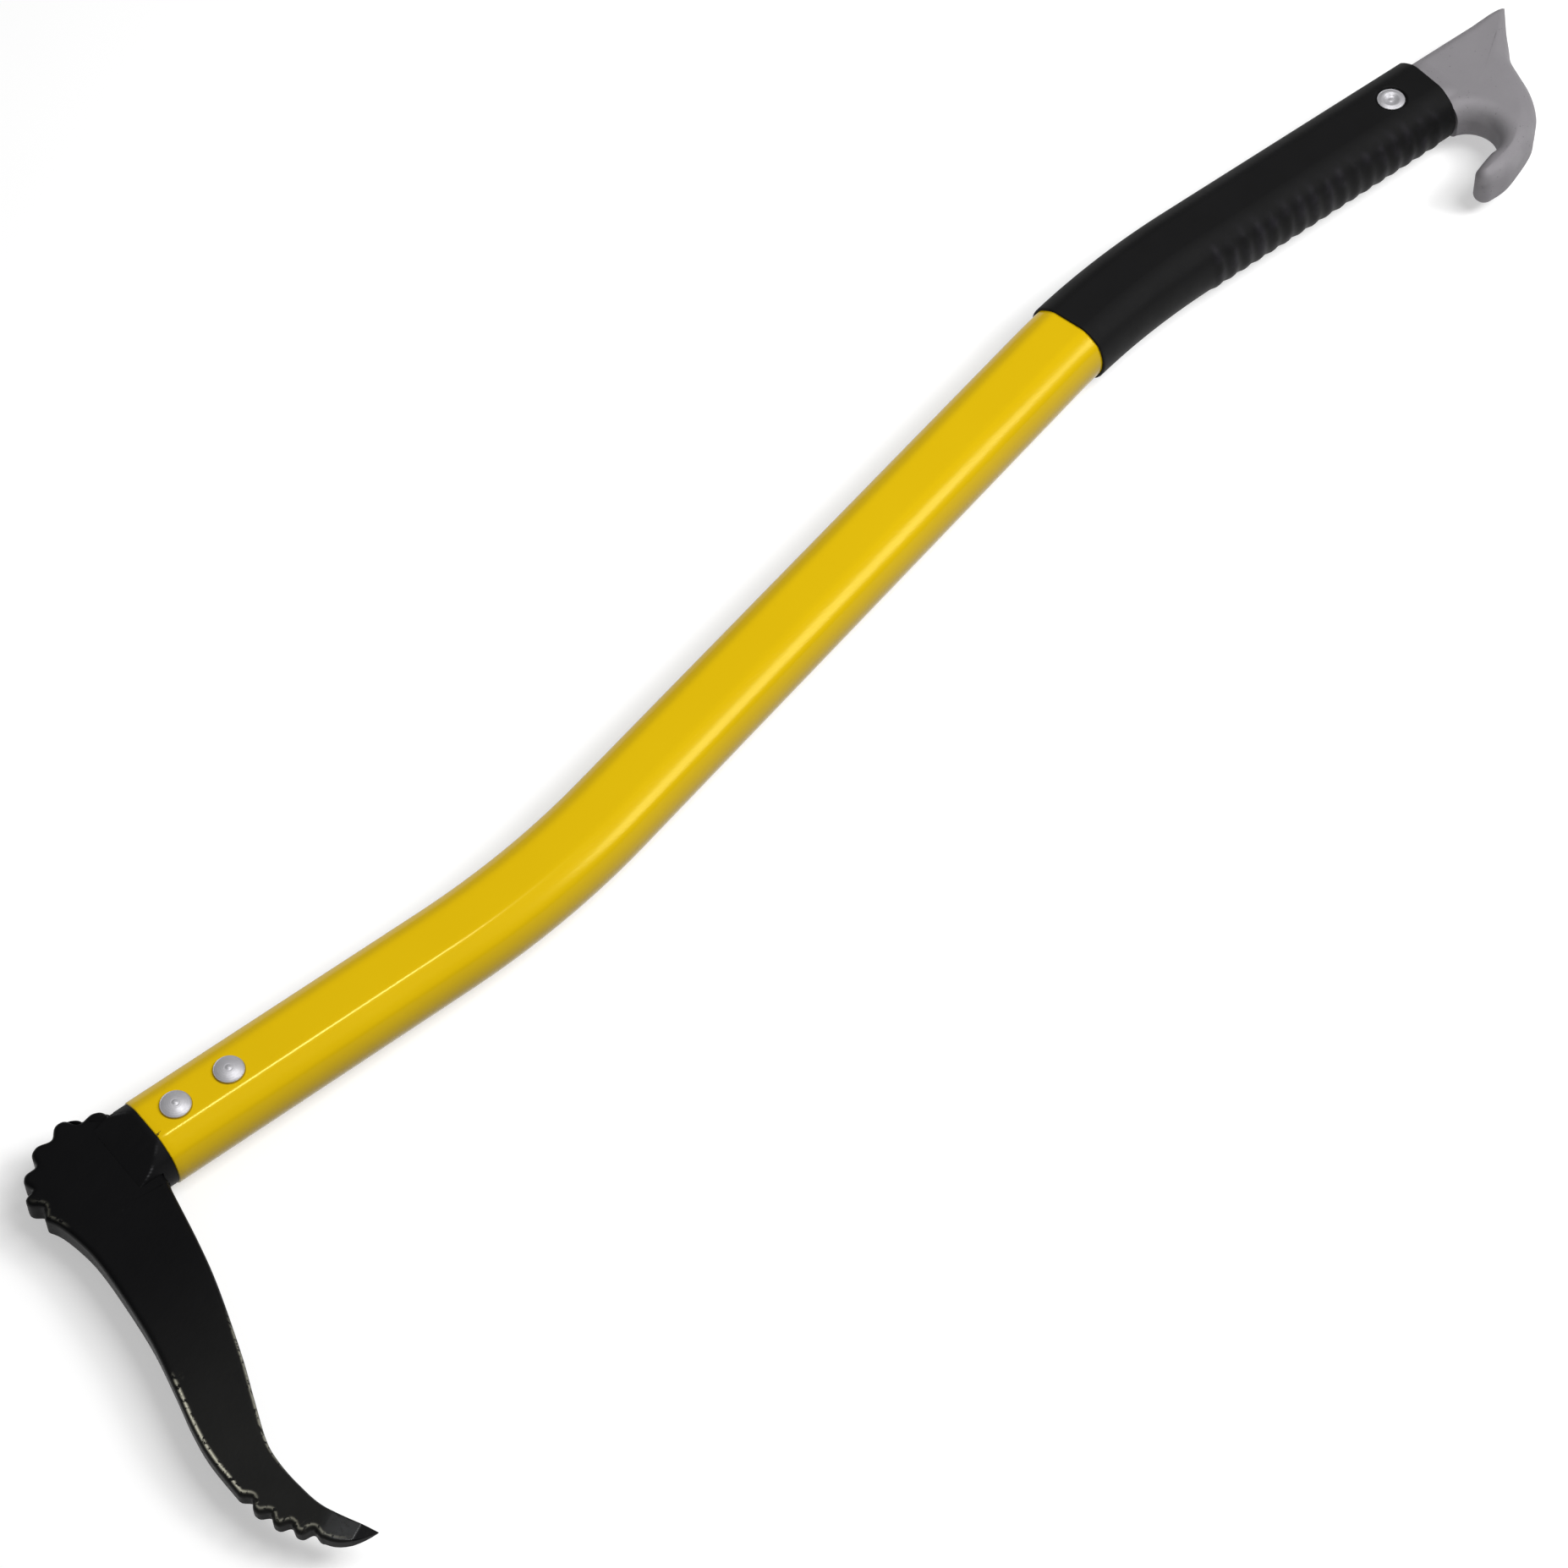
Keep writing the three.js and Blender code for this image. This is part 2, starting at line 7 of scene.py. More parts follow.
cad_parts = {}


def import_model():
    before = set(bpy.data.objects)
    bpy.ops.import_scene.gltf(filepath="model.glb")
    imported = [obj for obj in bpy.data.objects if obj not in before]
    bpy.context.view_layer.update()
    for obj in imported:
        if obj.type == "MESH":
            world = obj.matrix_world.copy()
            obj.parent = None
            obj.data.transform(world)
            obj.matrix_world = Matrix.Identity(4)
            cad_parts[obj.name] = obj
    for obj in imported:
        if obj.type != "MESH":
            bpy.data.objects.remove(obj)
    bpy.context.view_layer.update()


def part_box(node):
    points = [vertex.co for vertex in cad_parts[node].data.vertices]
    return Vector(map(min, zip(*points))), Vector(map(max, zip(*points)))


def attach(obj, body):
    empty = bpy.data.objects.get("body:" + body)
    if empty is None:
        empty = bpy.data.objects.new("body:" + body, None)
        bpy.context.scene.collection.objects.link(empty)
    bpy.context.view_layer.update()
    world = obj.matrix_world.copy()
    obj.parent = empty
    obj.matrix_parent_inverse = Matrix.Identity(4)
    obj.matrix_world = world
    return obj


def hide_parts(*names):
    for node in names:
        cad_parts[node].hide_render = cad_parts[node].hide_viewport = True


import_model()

# Sizes in millimetres, and places from the middle of the handle's mouth. X runs to the grip, Y away from the
# hook's point and Z up.

# Handle tube
TUBE_WIDTH = 31.0
TUBE_THICKNESS = 24.0
TUBE_CORNER = 9.5
TUBE_WALL = 2.0
HEAD_STRETCH = 114.0
MIDDLE_STRETCH = 242.0
GRIP_STRETCH = 113.5
BEND_RADIUS = 320.0
BEND_DEGREES = 13.5
TUBE_EDGE_ROUND = 0.45
TUBE_FIRST_ROW = 3.0
# Rows of points on the tube's straight pieces and bends, from the head to the grip.
TUBE_ROWS = (9, 28, 15, 28, 9)
# Tilt of the tube's skin over a corner, from its flat face to its side, at shares of the corner's length: a
# narrow ridge, a long shoulder, a second turn and a slow rounding of the side. Underneath it is a circle.
CORNER_TILTS = [(0, 0), (0.014, 13), (0.068, 16.8), (0.09, 26), (0.42, 42), (0.5, 62), (1, 90)]
LOWER_TILTS = [(0, 0), (1, 90)]
LOWER_CORNER = 12.0

# Forged head
HEAD_THICKNESS = 10.0
HEAD_EDGE_ROUND = 1.9
TANG_WIDTH = 20.0
TANG_LENGTH = 44.0
TANG_OVERLAP = 2.0
SHOULDER_SETBACK = 4.5
COLLAR_LINE_INSET = 0.6
HOOK_REACH = 156.0
HOOK_TIP_THICKNESS = 6.4
POLL_HOLLOW_DEPTH = 2.8
SERRATIONS = 4
SERRATION_DEPTH = 2.3
POINT_LENGTH = 15.0
POINT_THICKNESS = 2.2
BEVEL_LENGTH = 5.5
BEVEL_THICKNESS = 0.6
FACET_BLUR = 4.0
FACET_DEPTH = 6.0
BEVEL_BLUR = 0.6
BEVEL_OVERLAP = 0.1
LEAST_ROUND_SHARE = 0.05
LEAST_HALF = 0.05
# The outline starts half way over the poll's first lobe.
FIRST_LOBE = 0.5
# Where the hook thins and where it turns paler, as shares of its reach, from the start to the full.
HOOK_TAPER_SHARES = (0.35, 0.9)
PALER_SHARES = (0.2, 0.75)
# Where the hook's edges show wear, and where the poll's lower lobes carry a painted glint, as shares of its
# reach from none to the most, and how much that is. The line's place and width are shares of the edge's
# radius.
BACK_WEAR_Y_SHARES = [(-0.47, -0.52), (-0.8, -0.75)]
SAW_WEAR_Y_SHARES = [(-0.76, -0.8)]
SAW_WEAR_X_SHARES = [(-0.2, -0.26)]
LOBE_GLINT_X_SHARES = [(-0.22, -0.25)]
LOBE_GLINT_Y_SHARES = [(-0.08, -0.05), (0.04, 0.0)]
THROAT_WEAR_Y_SHARES = [(-0.42, -0.5), (-0.8, -0.7)]
SAW_WEAR = 0.26
LOBE_GLINT = 0.09
THROAT_WEAR = 0.35
OUTER_WEAR_AND_GLINT_PLACE = 0.75
INNER_WEAR_PLACE = 0.24
WEAR_AND_GLINT_WIDTH = 0.19

# Nylon adapter
RAMP_LENGTH = 13.0
RAMP_TOP = 0.8
RAMP_FOOT = 5.12
RAMP_TRIM = 12.8
COLLAR_INSET = 0.4
RAMP_FILLET = 0.55
# Width and ends of the painted highlight where the ramp meets the collar's round corners.
SEAM_HIGHLIGHT_WIDTH = 0.22
SEAM_HIGHLIGHT_START = 1.0
SEAM_HIGHLIGHT_END = 4.0
COLLAR_LAST_ROW = 0.4
RAMP_OVERLAP = 0.02
PLUG_START = -1.0
PLUG_END = 47.0

# Rivets, the painted contact shadow round them, and chips in the coat
RIVET_RADIUS = 5.1
RIVET_HEIGHT = 1.9
RIVET_SHANK = 3.0
RIVET_SIDES = 72
RIVET_RIM = 0.25
RIVET_GAP = 0.3
RIM_TURN = math.radians(72)
RIVET_RINGS = 9000  # radians of the rings' wave in a metre
NUB_HEIGHT = 0.14
NUB_EDGE = (0.9, 0.45)
NUB_RING_DEPTH = 0.04
NUB_RING_RADIUS = 1.2
NUB_RING_WIDTH = 0.35
POLE_RADIUS = 0.02
GRIP_RIVET_DISH = 1.5
DISH_SHARES = (0.72, 0.2)
HEAD_RIVET_SETBACK = 11.0
HEAD_RIVET_PITCH = 20.4
GRIP_RIVET_SETBACK = 16.5
SEAT_GAP = 0.05
# Width and fade of the painted contact shadow round the head rivets.
SHADE_RING_WIDTH = 0.42
SHADE_RING_FADE = 0.3
# Chips in the coat: place and size. Their outline wanders, and their core is smaller than the whole.
CHIPS = [(0.5, -5.3, 0.8), (1.2, -5.1, 0.62), (1.8, -4.9, 0.5)]
CHIP_WANDER = 0.6
CHIP_CORE = 1.4

# Rubber grip
GRIP_WALL = 1.0
GRIP_LENGTH = 175.5
GRIP_LIP = 1.8
GRIP_RIM_ROUND = 0.5
GRIP_END_ROUND = 0.95
GRIP_RIVET_HOLE = 5.5
GRIP_HOLE_OUTSIDE = 0.7
GRIP_HOLE_INSIDE = 0.1
GRIP_HOLE_ROWS = 1.5
GRIP_HOLE_FLOOR = 0.02
GRIP_BORE_GAP = 0.2
GRIP_BORE_ROW = 2.0
GRIP_RIBS = 17
GRIP_RIB_PITCH = 6.55
GRIP_RIB_HEIGHT = 0.5
GRIP_RIB_SETBACK = 7.5
GRIP_RIB_ROWS = 11
RIB_FLANK_SHARES = (0.45, 0.95)

# Cast end hook
CAST_THICKNESS = 16.0
CAST_EDGE_ROUND = 4.2
CAST_TIP_ROUND = 2.4
CHEEK_ROUND = 2.0
CHEEK_REACH = (26.0, 5.0)
BACK_ROUND = 2.8
BACK_REACH = (10.0, 24.0)
BACK_TOP = 8.0
SPIGOT_LENGTH = 34.0
HEEL_REACH = 49.3
HEEL_RISE = 13.0
THROAT_RADIUS = 10.2
THROAT_DROP = 26.7
THROAT_SETBACK = 2.9
FINGER_TIP_RADIUS = 3.9
FINGER_TIP_DROP = 43.7
FINGER_TIP_SETBACK = 11.4
NECK_BLEND = 8.0
NECK_SLIM = 0.7
NECK_GAP = 0.2

# Outlines as shares of the hook's reach and of the heel's reach, the same as in the part's source.
POLL_TIPS = [(0, 0.0925), (-0.052, 0.119), (-0.125, 0.146), (-0.201, 0.124), (-0.253, 0.08),
             (-0.279, 0.03), (-0.271, -0.03)]
HOOK_BACK = [(-0.2585, -0.0565), (-0.2485, -0.105), (-0.2435, -0.165), (-0.248, -0.255),
             (-0.262, -0.385), (-0.2855, -0.499), (-0.308, -0.5945), (-0.319, -0.6725), (-0.3195, -0.767)]
SERRATED_BEND = (-0.3155, -0.879)
SERRATED_END = (-0.2435, -0.95)
POINT_BELLY = (-0.2235, -0.993)
HOOK_POINT = (-0.152, -1)
HOOK_THROAT = [(-0.2, -0.903), (-0.214, -0.8225), (-0.2155, -0.753), (-0.2065, -0.702), (-0.175, -0.618),
               (-0.139, -0.5245), (-0.0885, -0.37), (-0.0615, -0.263), (-0.034, -0.126)]
HEEL_EDGE = [(-0.072, -0.9655), (0.096, -0.921), (0.269, -0.85), (0.37, -0.775), (0.4615, -0.694),
             (0.5425, -0.582), (0.601, -0.4645), (0.648, -0.325), (0.701, -0.176), (0.776, -0.065),
             (0.866, 0.067), (1.01, 0.24)]
# The casting's top edge: along from the neck, and down from the heel's rise.
CAST_TOP = [(0, 0), (36, 0), (42, -0.3), (46.4, -0.7), (48.2, -1.2), (49.1, -2)]

# Places on an outer edge, each with the place on the inner edge that faces it. The casting's are from its
# neck.
HEAD_PAIRS = [((-26, 20), (-4.6, 8)), ((-42, 8), (-4.5, -2)), ((-42, -5), (-4.5, -10)),
              ((-38, -24), (-6.5, -24)), ((-40.4, -60.5), (-15, -60)), ((-46, -89), (-25.5, -90)),
              ((-49.1, -118), (-34, -117)), ((-41, -142), (-32.5, -138)), ((-37.8, -147.6), (-30.5, -143))]
CAST_PAIRS = [((49, 12.5), (3.5, -19.5)), ((31, -20), (7.2, -27)), ((22.7, -34), (4.5, -33.7)),
              ((4.7, -45.4), (-4, -37.2))]
HEAD_ROWS = 640
CAST_ROWS = 420
PLATE_COLUMNS = 56
PLATE_CHUNK = 1500
WALL_SHARES = [0.1, 0.5, 0.9]

BEND_ANGLE = math.radians(BEND_DEGREES)
BEND_LENGTH = BEND_RADIUS * BEND_ANGLE
TUBE_LENGTH = HEAD_STRETCH + MIDDLE_STRETCH + GRIP_STRETCH + 2 * BEND_LENGTH
SECOND_BEND = HEAD_STRETCH + BEND_LENGTH + MIDDLE_STRETCH
BORE_FIT = -TUBE_WALL - NECK_GAP
COLLAR_TOP = TUBE_THICKNESS / 2 - COLLAR_INSET
HOOK_TIP = np.array(HOOK_POINT) * HOOK_REACH

low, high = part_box("handle_tube")
MOUTH = np.array([low.x, low.y + TUBE_WIDTH / 2000, high.z - TUBE_THICKNESS / 2000])


def to_metres(points):
    """Moves points from millimetres about the handle's mouth to metres in the part's frame."""
    return points / 1000 + MOUTH


def smoothstep(value, start, end):
    """3t squared minus 2t cubed, where t goes from 0 at start to 1 at end and is held outside them."""
    t = np.clip((value - start) / (end - start), 0, 1)
    return t * t * (3 - 2 * t)


def smooth_min(a, b, blend):
    """The smaller of two heights, with the corner between them rounded over the blend."""
    h = np.clip(0.5 + 0.5 * (b - a) / blend, 0, 1)
    return b + (a - b) * h - blend * h * (1 - h)


def spline(points, t):
    """A uniform Catmull-Rom curve through the points, where t runs from 0 to 1 over all of its spans."""
    points = np.asarray(points, float)
    last = len(points) - 1
    place = np.clip(np.asarray(t, float), 0, 1) * last
    span = np.minimum(place.astype(int), last - 1)
    w = (place - span)[:, None]
    before, here = points[np.maximum(span - 1, 0)], points[span]
    there, after = points[span + 1], points[np.minimum(span + 2, last)]
    start, end = (there - before) / 2, (after - here) / 2
    return ((2 * here - 2 * there + start + end) * w ** 3
            + (-3 * here + 3 * there - 2 * start - end) * w ** 2 + start * w + here)


def bezier(a, b, c, t):
    """A quadratic curve from a to c that is drawn towards b."""
    a, b, c = (np.asarray(p, float) for p in (a, b, c))
    t = np.asarray(t, float)[:, None]
    return (1 - t) ** 2 * a + 2 * t * (1 - t) * b + t ** 2 * c


def left_of(points):
    """Unit normals to the left of a row of points."""
    along = np.gradient(points, axis=0)
    normals = np.stack([-along[:, 1], along[:, 0]], -1)
    return normals / np.linalg.norm(normals, axis=1)[:, None]


def arc(centre, radius, start, end, count):
    """Points on a circle between two angles."""
    angle = np.linspace(start, end, count)
    return np.asarray(centre) + radius * np.stack([np.cos(angle), np.sin(angle)], -1)


def lengths_along(points):
    """Distance along a row of points, from 0 at its first one to 1 at its last."""
    steps = np.linalg.norm(np.diff(points, axis=0), axis=1)
    total = np.concatenate([[0], np.cumsum(steps)])
    return total / total[-1]


def at_shares(points, shares):
    """Points at the given shares of a row's length."""
    along = lengths_along(points)
    return np.stack([np.interp(shares, along, points[:, 0]), np.interp(shares, along, points[:, 1])], -1)


def handle_at(distance):
    """The handle's centre line: straight, an arc to the left, straight, the same arc to the right, straight.
    Gives x, y and heading at each distance from the mouth."""
    distance = np.asarray(distance, float)
    turn_one = np.clip(distance - HEAD_STRETCH, 0, BEND_LENGTH) / BEND_RADIUS
    middle = np.clip(distance - HEAD_STRETCH - BEND_LENGTH, 0, MIDDLE_STRETCH)
    turn_two = np.clip(distance - SECOND_BEND, 0, BEND_LENGTH) / BEND_RADIUS
    last = np.maximum(distance - SECOND_BEND - BEND_LENGTH, 0)
    x = (np.minimum(distance, HEAD_STRETCH) + middle * math.cos(BEND_ANGLE) + last
         + BEND_RADIUS * (np.sin(turn_one) + math.sin(BEND_ANGLE) - np.sin(BEND_ANGLE - turn_two)))
    y = (middle * math.sin(BEND_ANGLE)
         + BEND_RADIUS * (1 - np.cos(turn_one) + np.cos(BEND_ANGLE - turn_two) - math.cos(BEND_ANGLE)))
    return x, y, turn_one - turn_two


END_X, END_Y, _ = (float(v) for v in handle_at(TUBE_LENGTH))
NECK = np.array([END_X + GRIP_LIP + NECK_GAP, END_Y])
FINGER_TIP = NECK + (-FINGER_TIP_SETBACK, -FINGER_TIP_DROP)
HEEL_POINT = NECK + (0, HEEL_RISE) + CAST_TOP[-1]
THROAT_START = NECK + (0, math.sqrt(THROAT_RADIUS ** 2 - THROAT_SETBACK ** 2) - THROAT_DROP)


def corner(width, tilts, growth, count):
    """A quarter of the handle's section: the curve whose tilt runs through the given values, added up step by
    step and scaled to the corner's width and to half the thickness. Growth moves every point along its own
    normal."""
    places, degrees = np.array(tilts).T
    fine = np.linspace(0, 1, 600)
    tilt = np.radians(np.interp(fine, places, degrees))
    step = np.stack([np.cos(tilt), -np.sin(tilt)], -1)
    curve = np.concatenate([[[0, 0]], np.cumsum((step[1:] + step[:-1]) / 2, axis=0)])
    scale = np.array([width, -TUBE_THICKNESS / 2]) / curve[-1]
    share = np.linspace(0, 1, count)
    turn = np.radians(np.interp(share, places, degrees))
    normal = np.stack([np.sin(turn) * scale[1], np.cos(turn) * scale[0]], -1)
    quarter = np.stack([np.interp(share, fine, curve[:, axis]) * scale[axis] for axis in (0, 1)], -1)
    quarter += (TUBE_WIDTH / 2 - width, TUBE_THICKNESS / 2)
    return quarter + growth * normal / np.linalg.norm(normal, axis=1)[:, None]


def section(growth, flat_points=8, corner_points=28):
    """The handle's section as a closed row of (across, up) points, from the left side over the top to the
    right side and back underneath."""
    halves = []
    for width, tilts in ((TUBE_CORNER, CORNER_TILTS), (LOWER_CORNER, LOWER_TILTS)):
        quarter = corner(width, tilts, growth, corner_points)
        flat = np.linspace(1, -1, flat_points + 2)[1:-1, None] * quarter[0] * (1, 0) + quarter[0] * (0, 1)
        halves.append(np.concatenate([quarter[::-1], flat, quarter * (-1, 1)]))
    return np.concatenate([halves[0], halves[1][-2:0:-1] * (1, -1)])


def sweep(distance, across, up):
    """Points of a skin round the handle: the centre line plus across along its left side, plus up along Z."""
    x, y, heading = handle_at(distance)
    return np.stack([x[:, None] - np.sin(heading)[:, None] * across,
                     y[:, None] + np.cos(heading)[:, None] * across,
                     np.broadcast_to(up, across.shape)], -1)


def bar(ring, ends):
    """A straight bar along X: the same closed ring of (across, up) points at each end."""
    return np.stack([np.column_stack([np.full(len(ring), x), ring]) for x in ends])


def solid(name, grids, crease, marks=None):
    """One mesh from closed grids of points. A grid is (points, wrap_rows): its columns always join up, its
    rows join up if wrap_rows is true, and otherwise a fan over its middle closes each end. A grid whose
    signed volume is negative is turned round. Edges sharper than the crease angle in degrees stay sharp.
    Marks are values for the points in their order, as far as they go."""
    verts, quads, fans, first = [], [], [], 0
    for points, wrap_rows in grids:
        rows, cols = points.shape[:2]
        index = first + np.arange(rows * cols).reshape(rows, cols)
        below = index if wrap_rows else index[:-1]
        above = np.roll(index, -1, axis=0) if wrap_rows else index[1:]
        around = [below, np.roll(below, -1, axis=1), np.roll(above, -1, axis=1), above]
        sides = np.stack(around, -1).reshape(-1, 4)
        flat = points.reshape(-1, 3)
        corners = flat[sides - first]
        area = np.cross(corners[:, 2] - corners[:, 0], corners[:, 3] - corners[:, 1])
        turned = np.einsum("ij,ij->", corners.mean(1) - flat.mean(0), area) < 0
        way = slice(None, None, -1 if turned else 1)
        quads.append(sides[:, way])
        if not wrap_rows:
            start, end = first + rows * cols, first + rows * cols + 1
            flat = np.concatenate([flat, points[:1].mean(1), points[-1:].mean(1)])
            head = np.stack([np.full(cols, start), np.roll(index[0], -1), index[0]], -1)
            tail = np.stack([np.full(cols, end), index[-1], np.roll(index[-1], -1)], -1)
            fans.append(np.concatenate([head, tail])[:, way])
        verts.append(flat)
        first += len(flat)
    faces = np.concatenate(quads).tolist() + [face for fan in fans for face in fan.tolist()]
    mesh = bpy.data.meshes.new(name)
    mesh.from_pydata(to_metres(np.concatenate(verts)).tolist(), [], faces)
    mesh.polygons.foreach_set("use_smooth", np.ones(len(faces), bool))
    for mark, values in (marks or {}).items():
        layer = mesh.attributes.new(mark, "FLOAT", "POINT")
        padded = np.zeros(len(mesh.vertices), np.float32)
        padded[:values.size] = values.ravel()
        layer.data.foreach_set("value", padded)
    mesh.set_sharp_from_angle(angle=math.radians(crease))
    piece = bpy.data.objects.new(name, mesh)
    bpy.context.scene.collection.objects.link(piece)
    return piece


def stands_for(piece, node, material):
    """The piece rides on the tool, takes the node's place and wears the material."""
    piece.data.materials.append(material)
    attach(piece, "root")
    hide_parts(node)


# Materials

class Wire:
    """The output of a shader node. Arithmetic on it adds Math nodes."""

    def __init__(self, paint, socket):
        self.paint = paint
        self.socket = socket

    def __add__(self, other):
        return self.paint.math("ADD", self, other)

    def __sub__(self, other):
        return self.paint.math("SUBTRACT", self, other)

    def __rsub__(self, other):
        return self.paint.math("SUBTRACT", other, self)

    def __mul__(self, other):
        return self.paint.math("MULTIPLY", self, other)

    __radd__ = __add__
    __rmul__ = __mul__


class Paint:
    """A material with one Principled shader, and short words for the nodes that feed it."""

    def __init__(self, name, **constants):
        self.material = bpy.data.materials.new(name)
        self.material.use_nodes = True
        self.tree = self.material.node_tree
        self.shader = self.tree.nodes["Principled BSDF"]
        for socket, value in constants.items():
            self.feed(socket.replace("_", " "), value)

    def node(self, kind, settings=None, inputs=None, output=0):
        """Adds a node: its settings first, then its inputs by name or number, and gives the chosen output."""
        made = self.tree.nodes.new(kind)
        for key, value in (settings or {}).items():
            setattr(made, key, value)
        for key, value in (inputs or {}).items():
            self.plug(made.inputs[key], value)
        return Wire(self, made.outputs[output])

    def plug(self, socket, value):
        """Links a wire to a socket, or sets the socket's own number, vector or colour."""
        if isinstance(value, Wire):
            self.tree.links.new(value.socket, socket)
        elif socket.type == "RGBA":
            socket.default_value = (*value, 1)
        else:
            socket.default_value = value

    def feed(self, name, value):
        """Plugs a value into the shader."""
        self.plug(self.shader.inputs[name], value)

    def math(self, operation, a, b=0.0):
        """One operation on two numbers."""
        return self.node("ShaderNodeMath", {"operation": operation}, {0: a, 1: b})

    def mix(self, factor, a, b):
        """The first colour where the factor is 0, the second where it is 1."""
        return self.node("ShaderNodeMix", {"data_type": "RGBA"}, {0: factor, 6: a, 7: b}, 2)

    def between(self, value, start, end):
        """0 below start, 1 above end and smooth between them. It falls instead if end is below start."""
        inputs = {"Value": value, "From Min": start, "From Max": end}
        return self.node("ShaderNodeMapRange", {"interpolation_type": "SMOOTHSTEP"}, inputs)

    def place(self, stretch=(1, 1, 1), turn=0.0):
        """The place on the object in metres, stretched along the axes and turned about Z."""
        coordinates = self.node("ShaderNodeTexCoord", output="Object")
        inputs = {"Vector": coordinates, "Rotation": (0, 0, turn), "Scale": stretch}
        return self.node("ShaderNodeMapping", None, inputs)

    def noise(self, size_mm, detail=3.0, roughness=0.5, where=None):
        """Noise from 0 to 1 whose blotches are about size_mm wide."""
        inputs = {"Vector": where or self.place(), "Scale": 1000 / size_mm, "Detail": detail,
                  "Roughness": roughness}
        return self.node("ShaderNodeTexNoise", None, inputs)

    def cells(self, size_mm):
        """Distance to the nearest of scattered middles, from 0 at a middle, in cells of about size_mm."""
        return self.node("ShaderNodeTexVoronoi", None, {"Vector": self.place(), "Scale": 1000 / size_mm})

    def distance_from(self, x, y):
        """Level distance in metres from a place given in millimetres about the mouth."""
        here = self.node("ShaderNodeTexCoord", output="Object")
        middle = tuple(to_metres(np.array([x, y, 0.0])))
        offset = self.node("ShaderNodeVectorMath", {"operation": "SUBTRACT"}, {0: here, 1: middle})
        flat = self.node("ShaderNodeVectorMath", {"operation": "MULTIPLY"}, {0: offset, 1: (1, 1, 0)})
        return self.node("ShaderNodeVectorMath", {"operation": "LENGTH"}, {0: flat}, "Value")

    def mark(self, name):
        """A value that the mesh carries."""
        return self.node("ShaderNodeAttribute", {"attribute_name": name}, output="Fac")

    def bump(self, height, depth_mm):
        """Tilts the normal as a relief of the given depth would, where the height runs from 0 to 1."""
        inputs = {"Height": height, "Distance": depth_mm / 1000}
        self.feed("Normal", self.node("ShaderNodeBump", None, inputs))

    def scratches(self, width_mm, length_mm, turn, cover):
        """Thin lines one way: noise drawn out along a direction, where it passes close to its middle, kept
        only in the blotches of a wider noise."""
        long = self.place((1000 / length_mm, 1000 / width_mm, 1000 / width_mm), turn)
        grain = self.noise(1000, 2.0, 0.5, long)
        line = self.between(self.math("ABSOLUTE", grain - 0.5), 0.012, 0.0)
        patch = self.between(self.noise(length_mm * 1.5, 1.0), 1 - cover, 1 - cover + 0.08)
        return line * patch


def linear(red, green, blue):
    """A colour given as sRGB from 0 to 255, as the shader wants it."""
    return tuple(c / 12.92 if c <= 0.04045 else ((c + 0.055) / 1.055) ** 2.4
                 for c in (red / 255, green / 255, blue / 255))


def yellow_coat():
    """Glossy powder coat: faint cloudiness, orange peel, small dark specks, pale spots of wear, a painted
    contact shadow round the rivets and a few chips down to dark primer."""
    paint = Paint("yellow_coat", IOR=1.5, Specular_IOR_Level=0.26, Specular_Tint=(1, 0.93, 0.28))
    cloud = paint.noise(60, 3.0)
    colour = paint.mix(cloud, linear(214, 176, 8), linear(221, 185, 13))
    specks = paint.between(paint.cells(9), 0.045, 0.03) * paint.between(paint.noise(45, 2.0), 0.56, 0.62)
    colour = paint.mix(specks * 0.6, colour, linear(120, 92, 20))
    rubs = paint.scratches(0.35, 12, 0.2, 0.3)
    colour = paint.mix(rubs * 0.2, colour, linear(240, 214, 90))
    # A painted contact shadow: a dark ring just outside each head rivet's rim.
    for x in (HEAD_RIVET_SETBACK, HEAD_RIVET_SETBACK + HEAD_RIVET_PITCH):
        edge = (RIVET_RADIUS + SHADE_RING_WIDTH) / 1000
        painted_shade_ring = paint.between(paint.distance_from(x, 0), edge, edge - SHADE_RING_FADE / 1000)
        colour = paint.mix(painted_shade_ring * (0.45 + 0.4 * paint.noise(2, 2.0)), colour, linear(96, 74, 26))
    for x, y, size in CHIPS:
        away = paint.distance_from(x, y) + CHIP_WANDER / 1000 * paint.noise(0.8, 2.0)
        chip = paint.between(away, size / 1000, size / 1000 / CHIP_CORE)
        colour = paint.mix(chip * 0.85, colour, linear(70, 54, 20))
    paint.feed("Base Color", colour)
    paint.feed("Roughness", 0.14 + 0.06 * paint.noise(14, 3.0) + 0.2 * rubs)
    peel = paint.noise(1.6, 2.0) * 0.75 + 0.25 * paint.noise(18, 2.0) - 0.5 * specks
    paint.bump(peel, 0.02)
    return paint.material


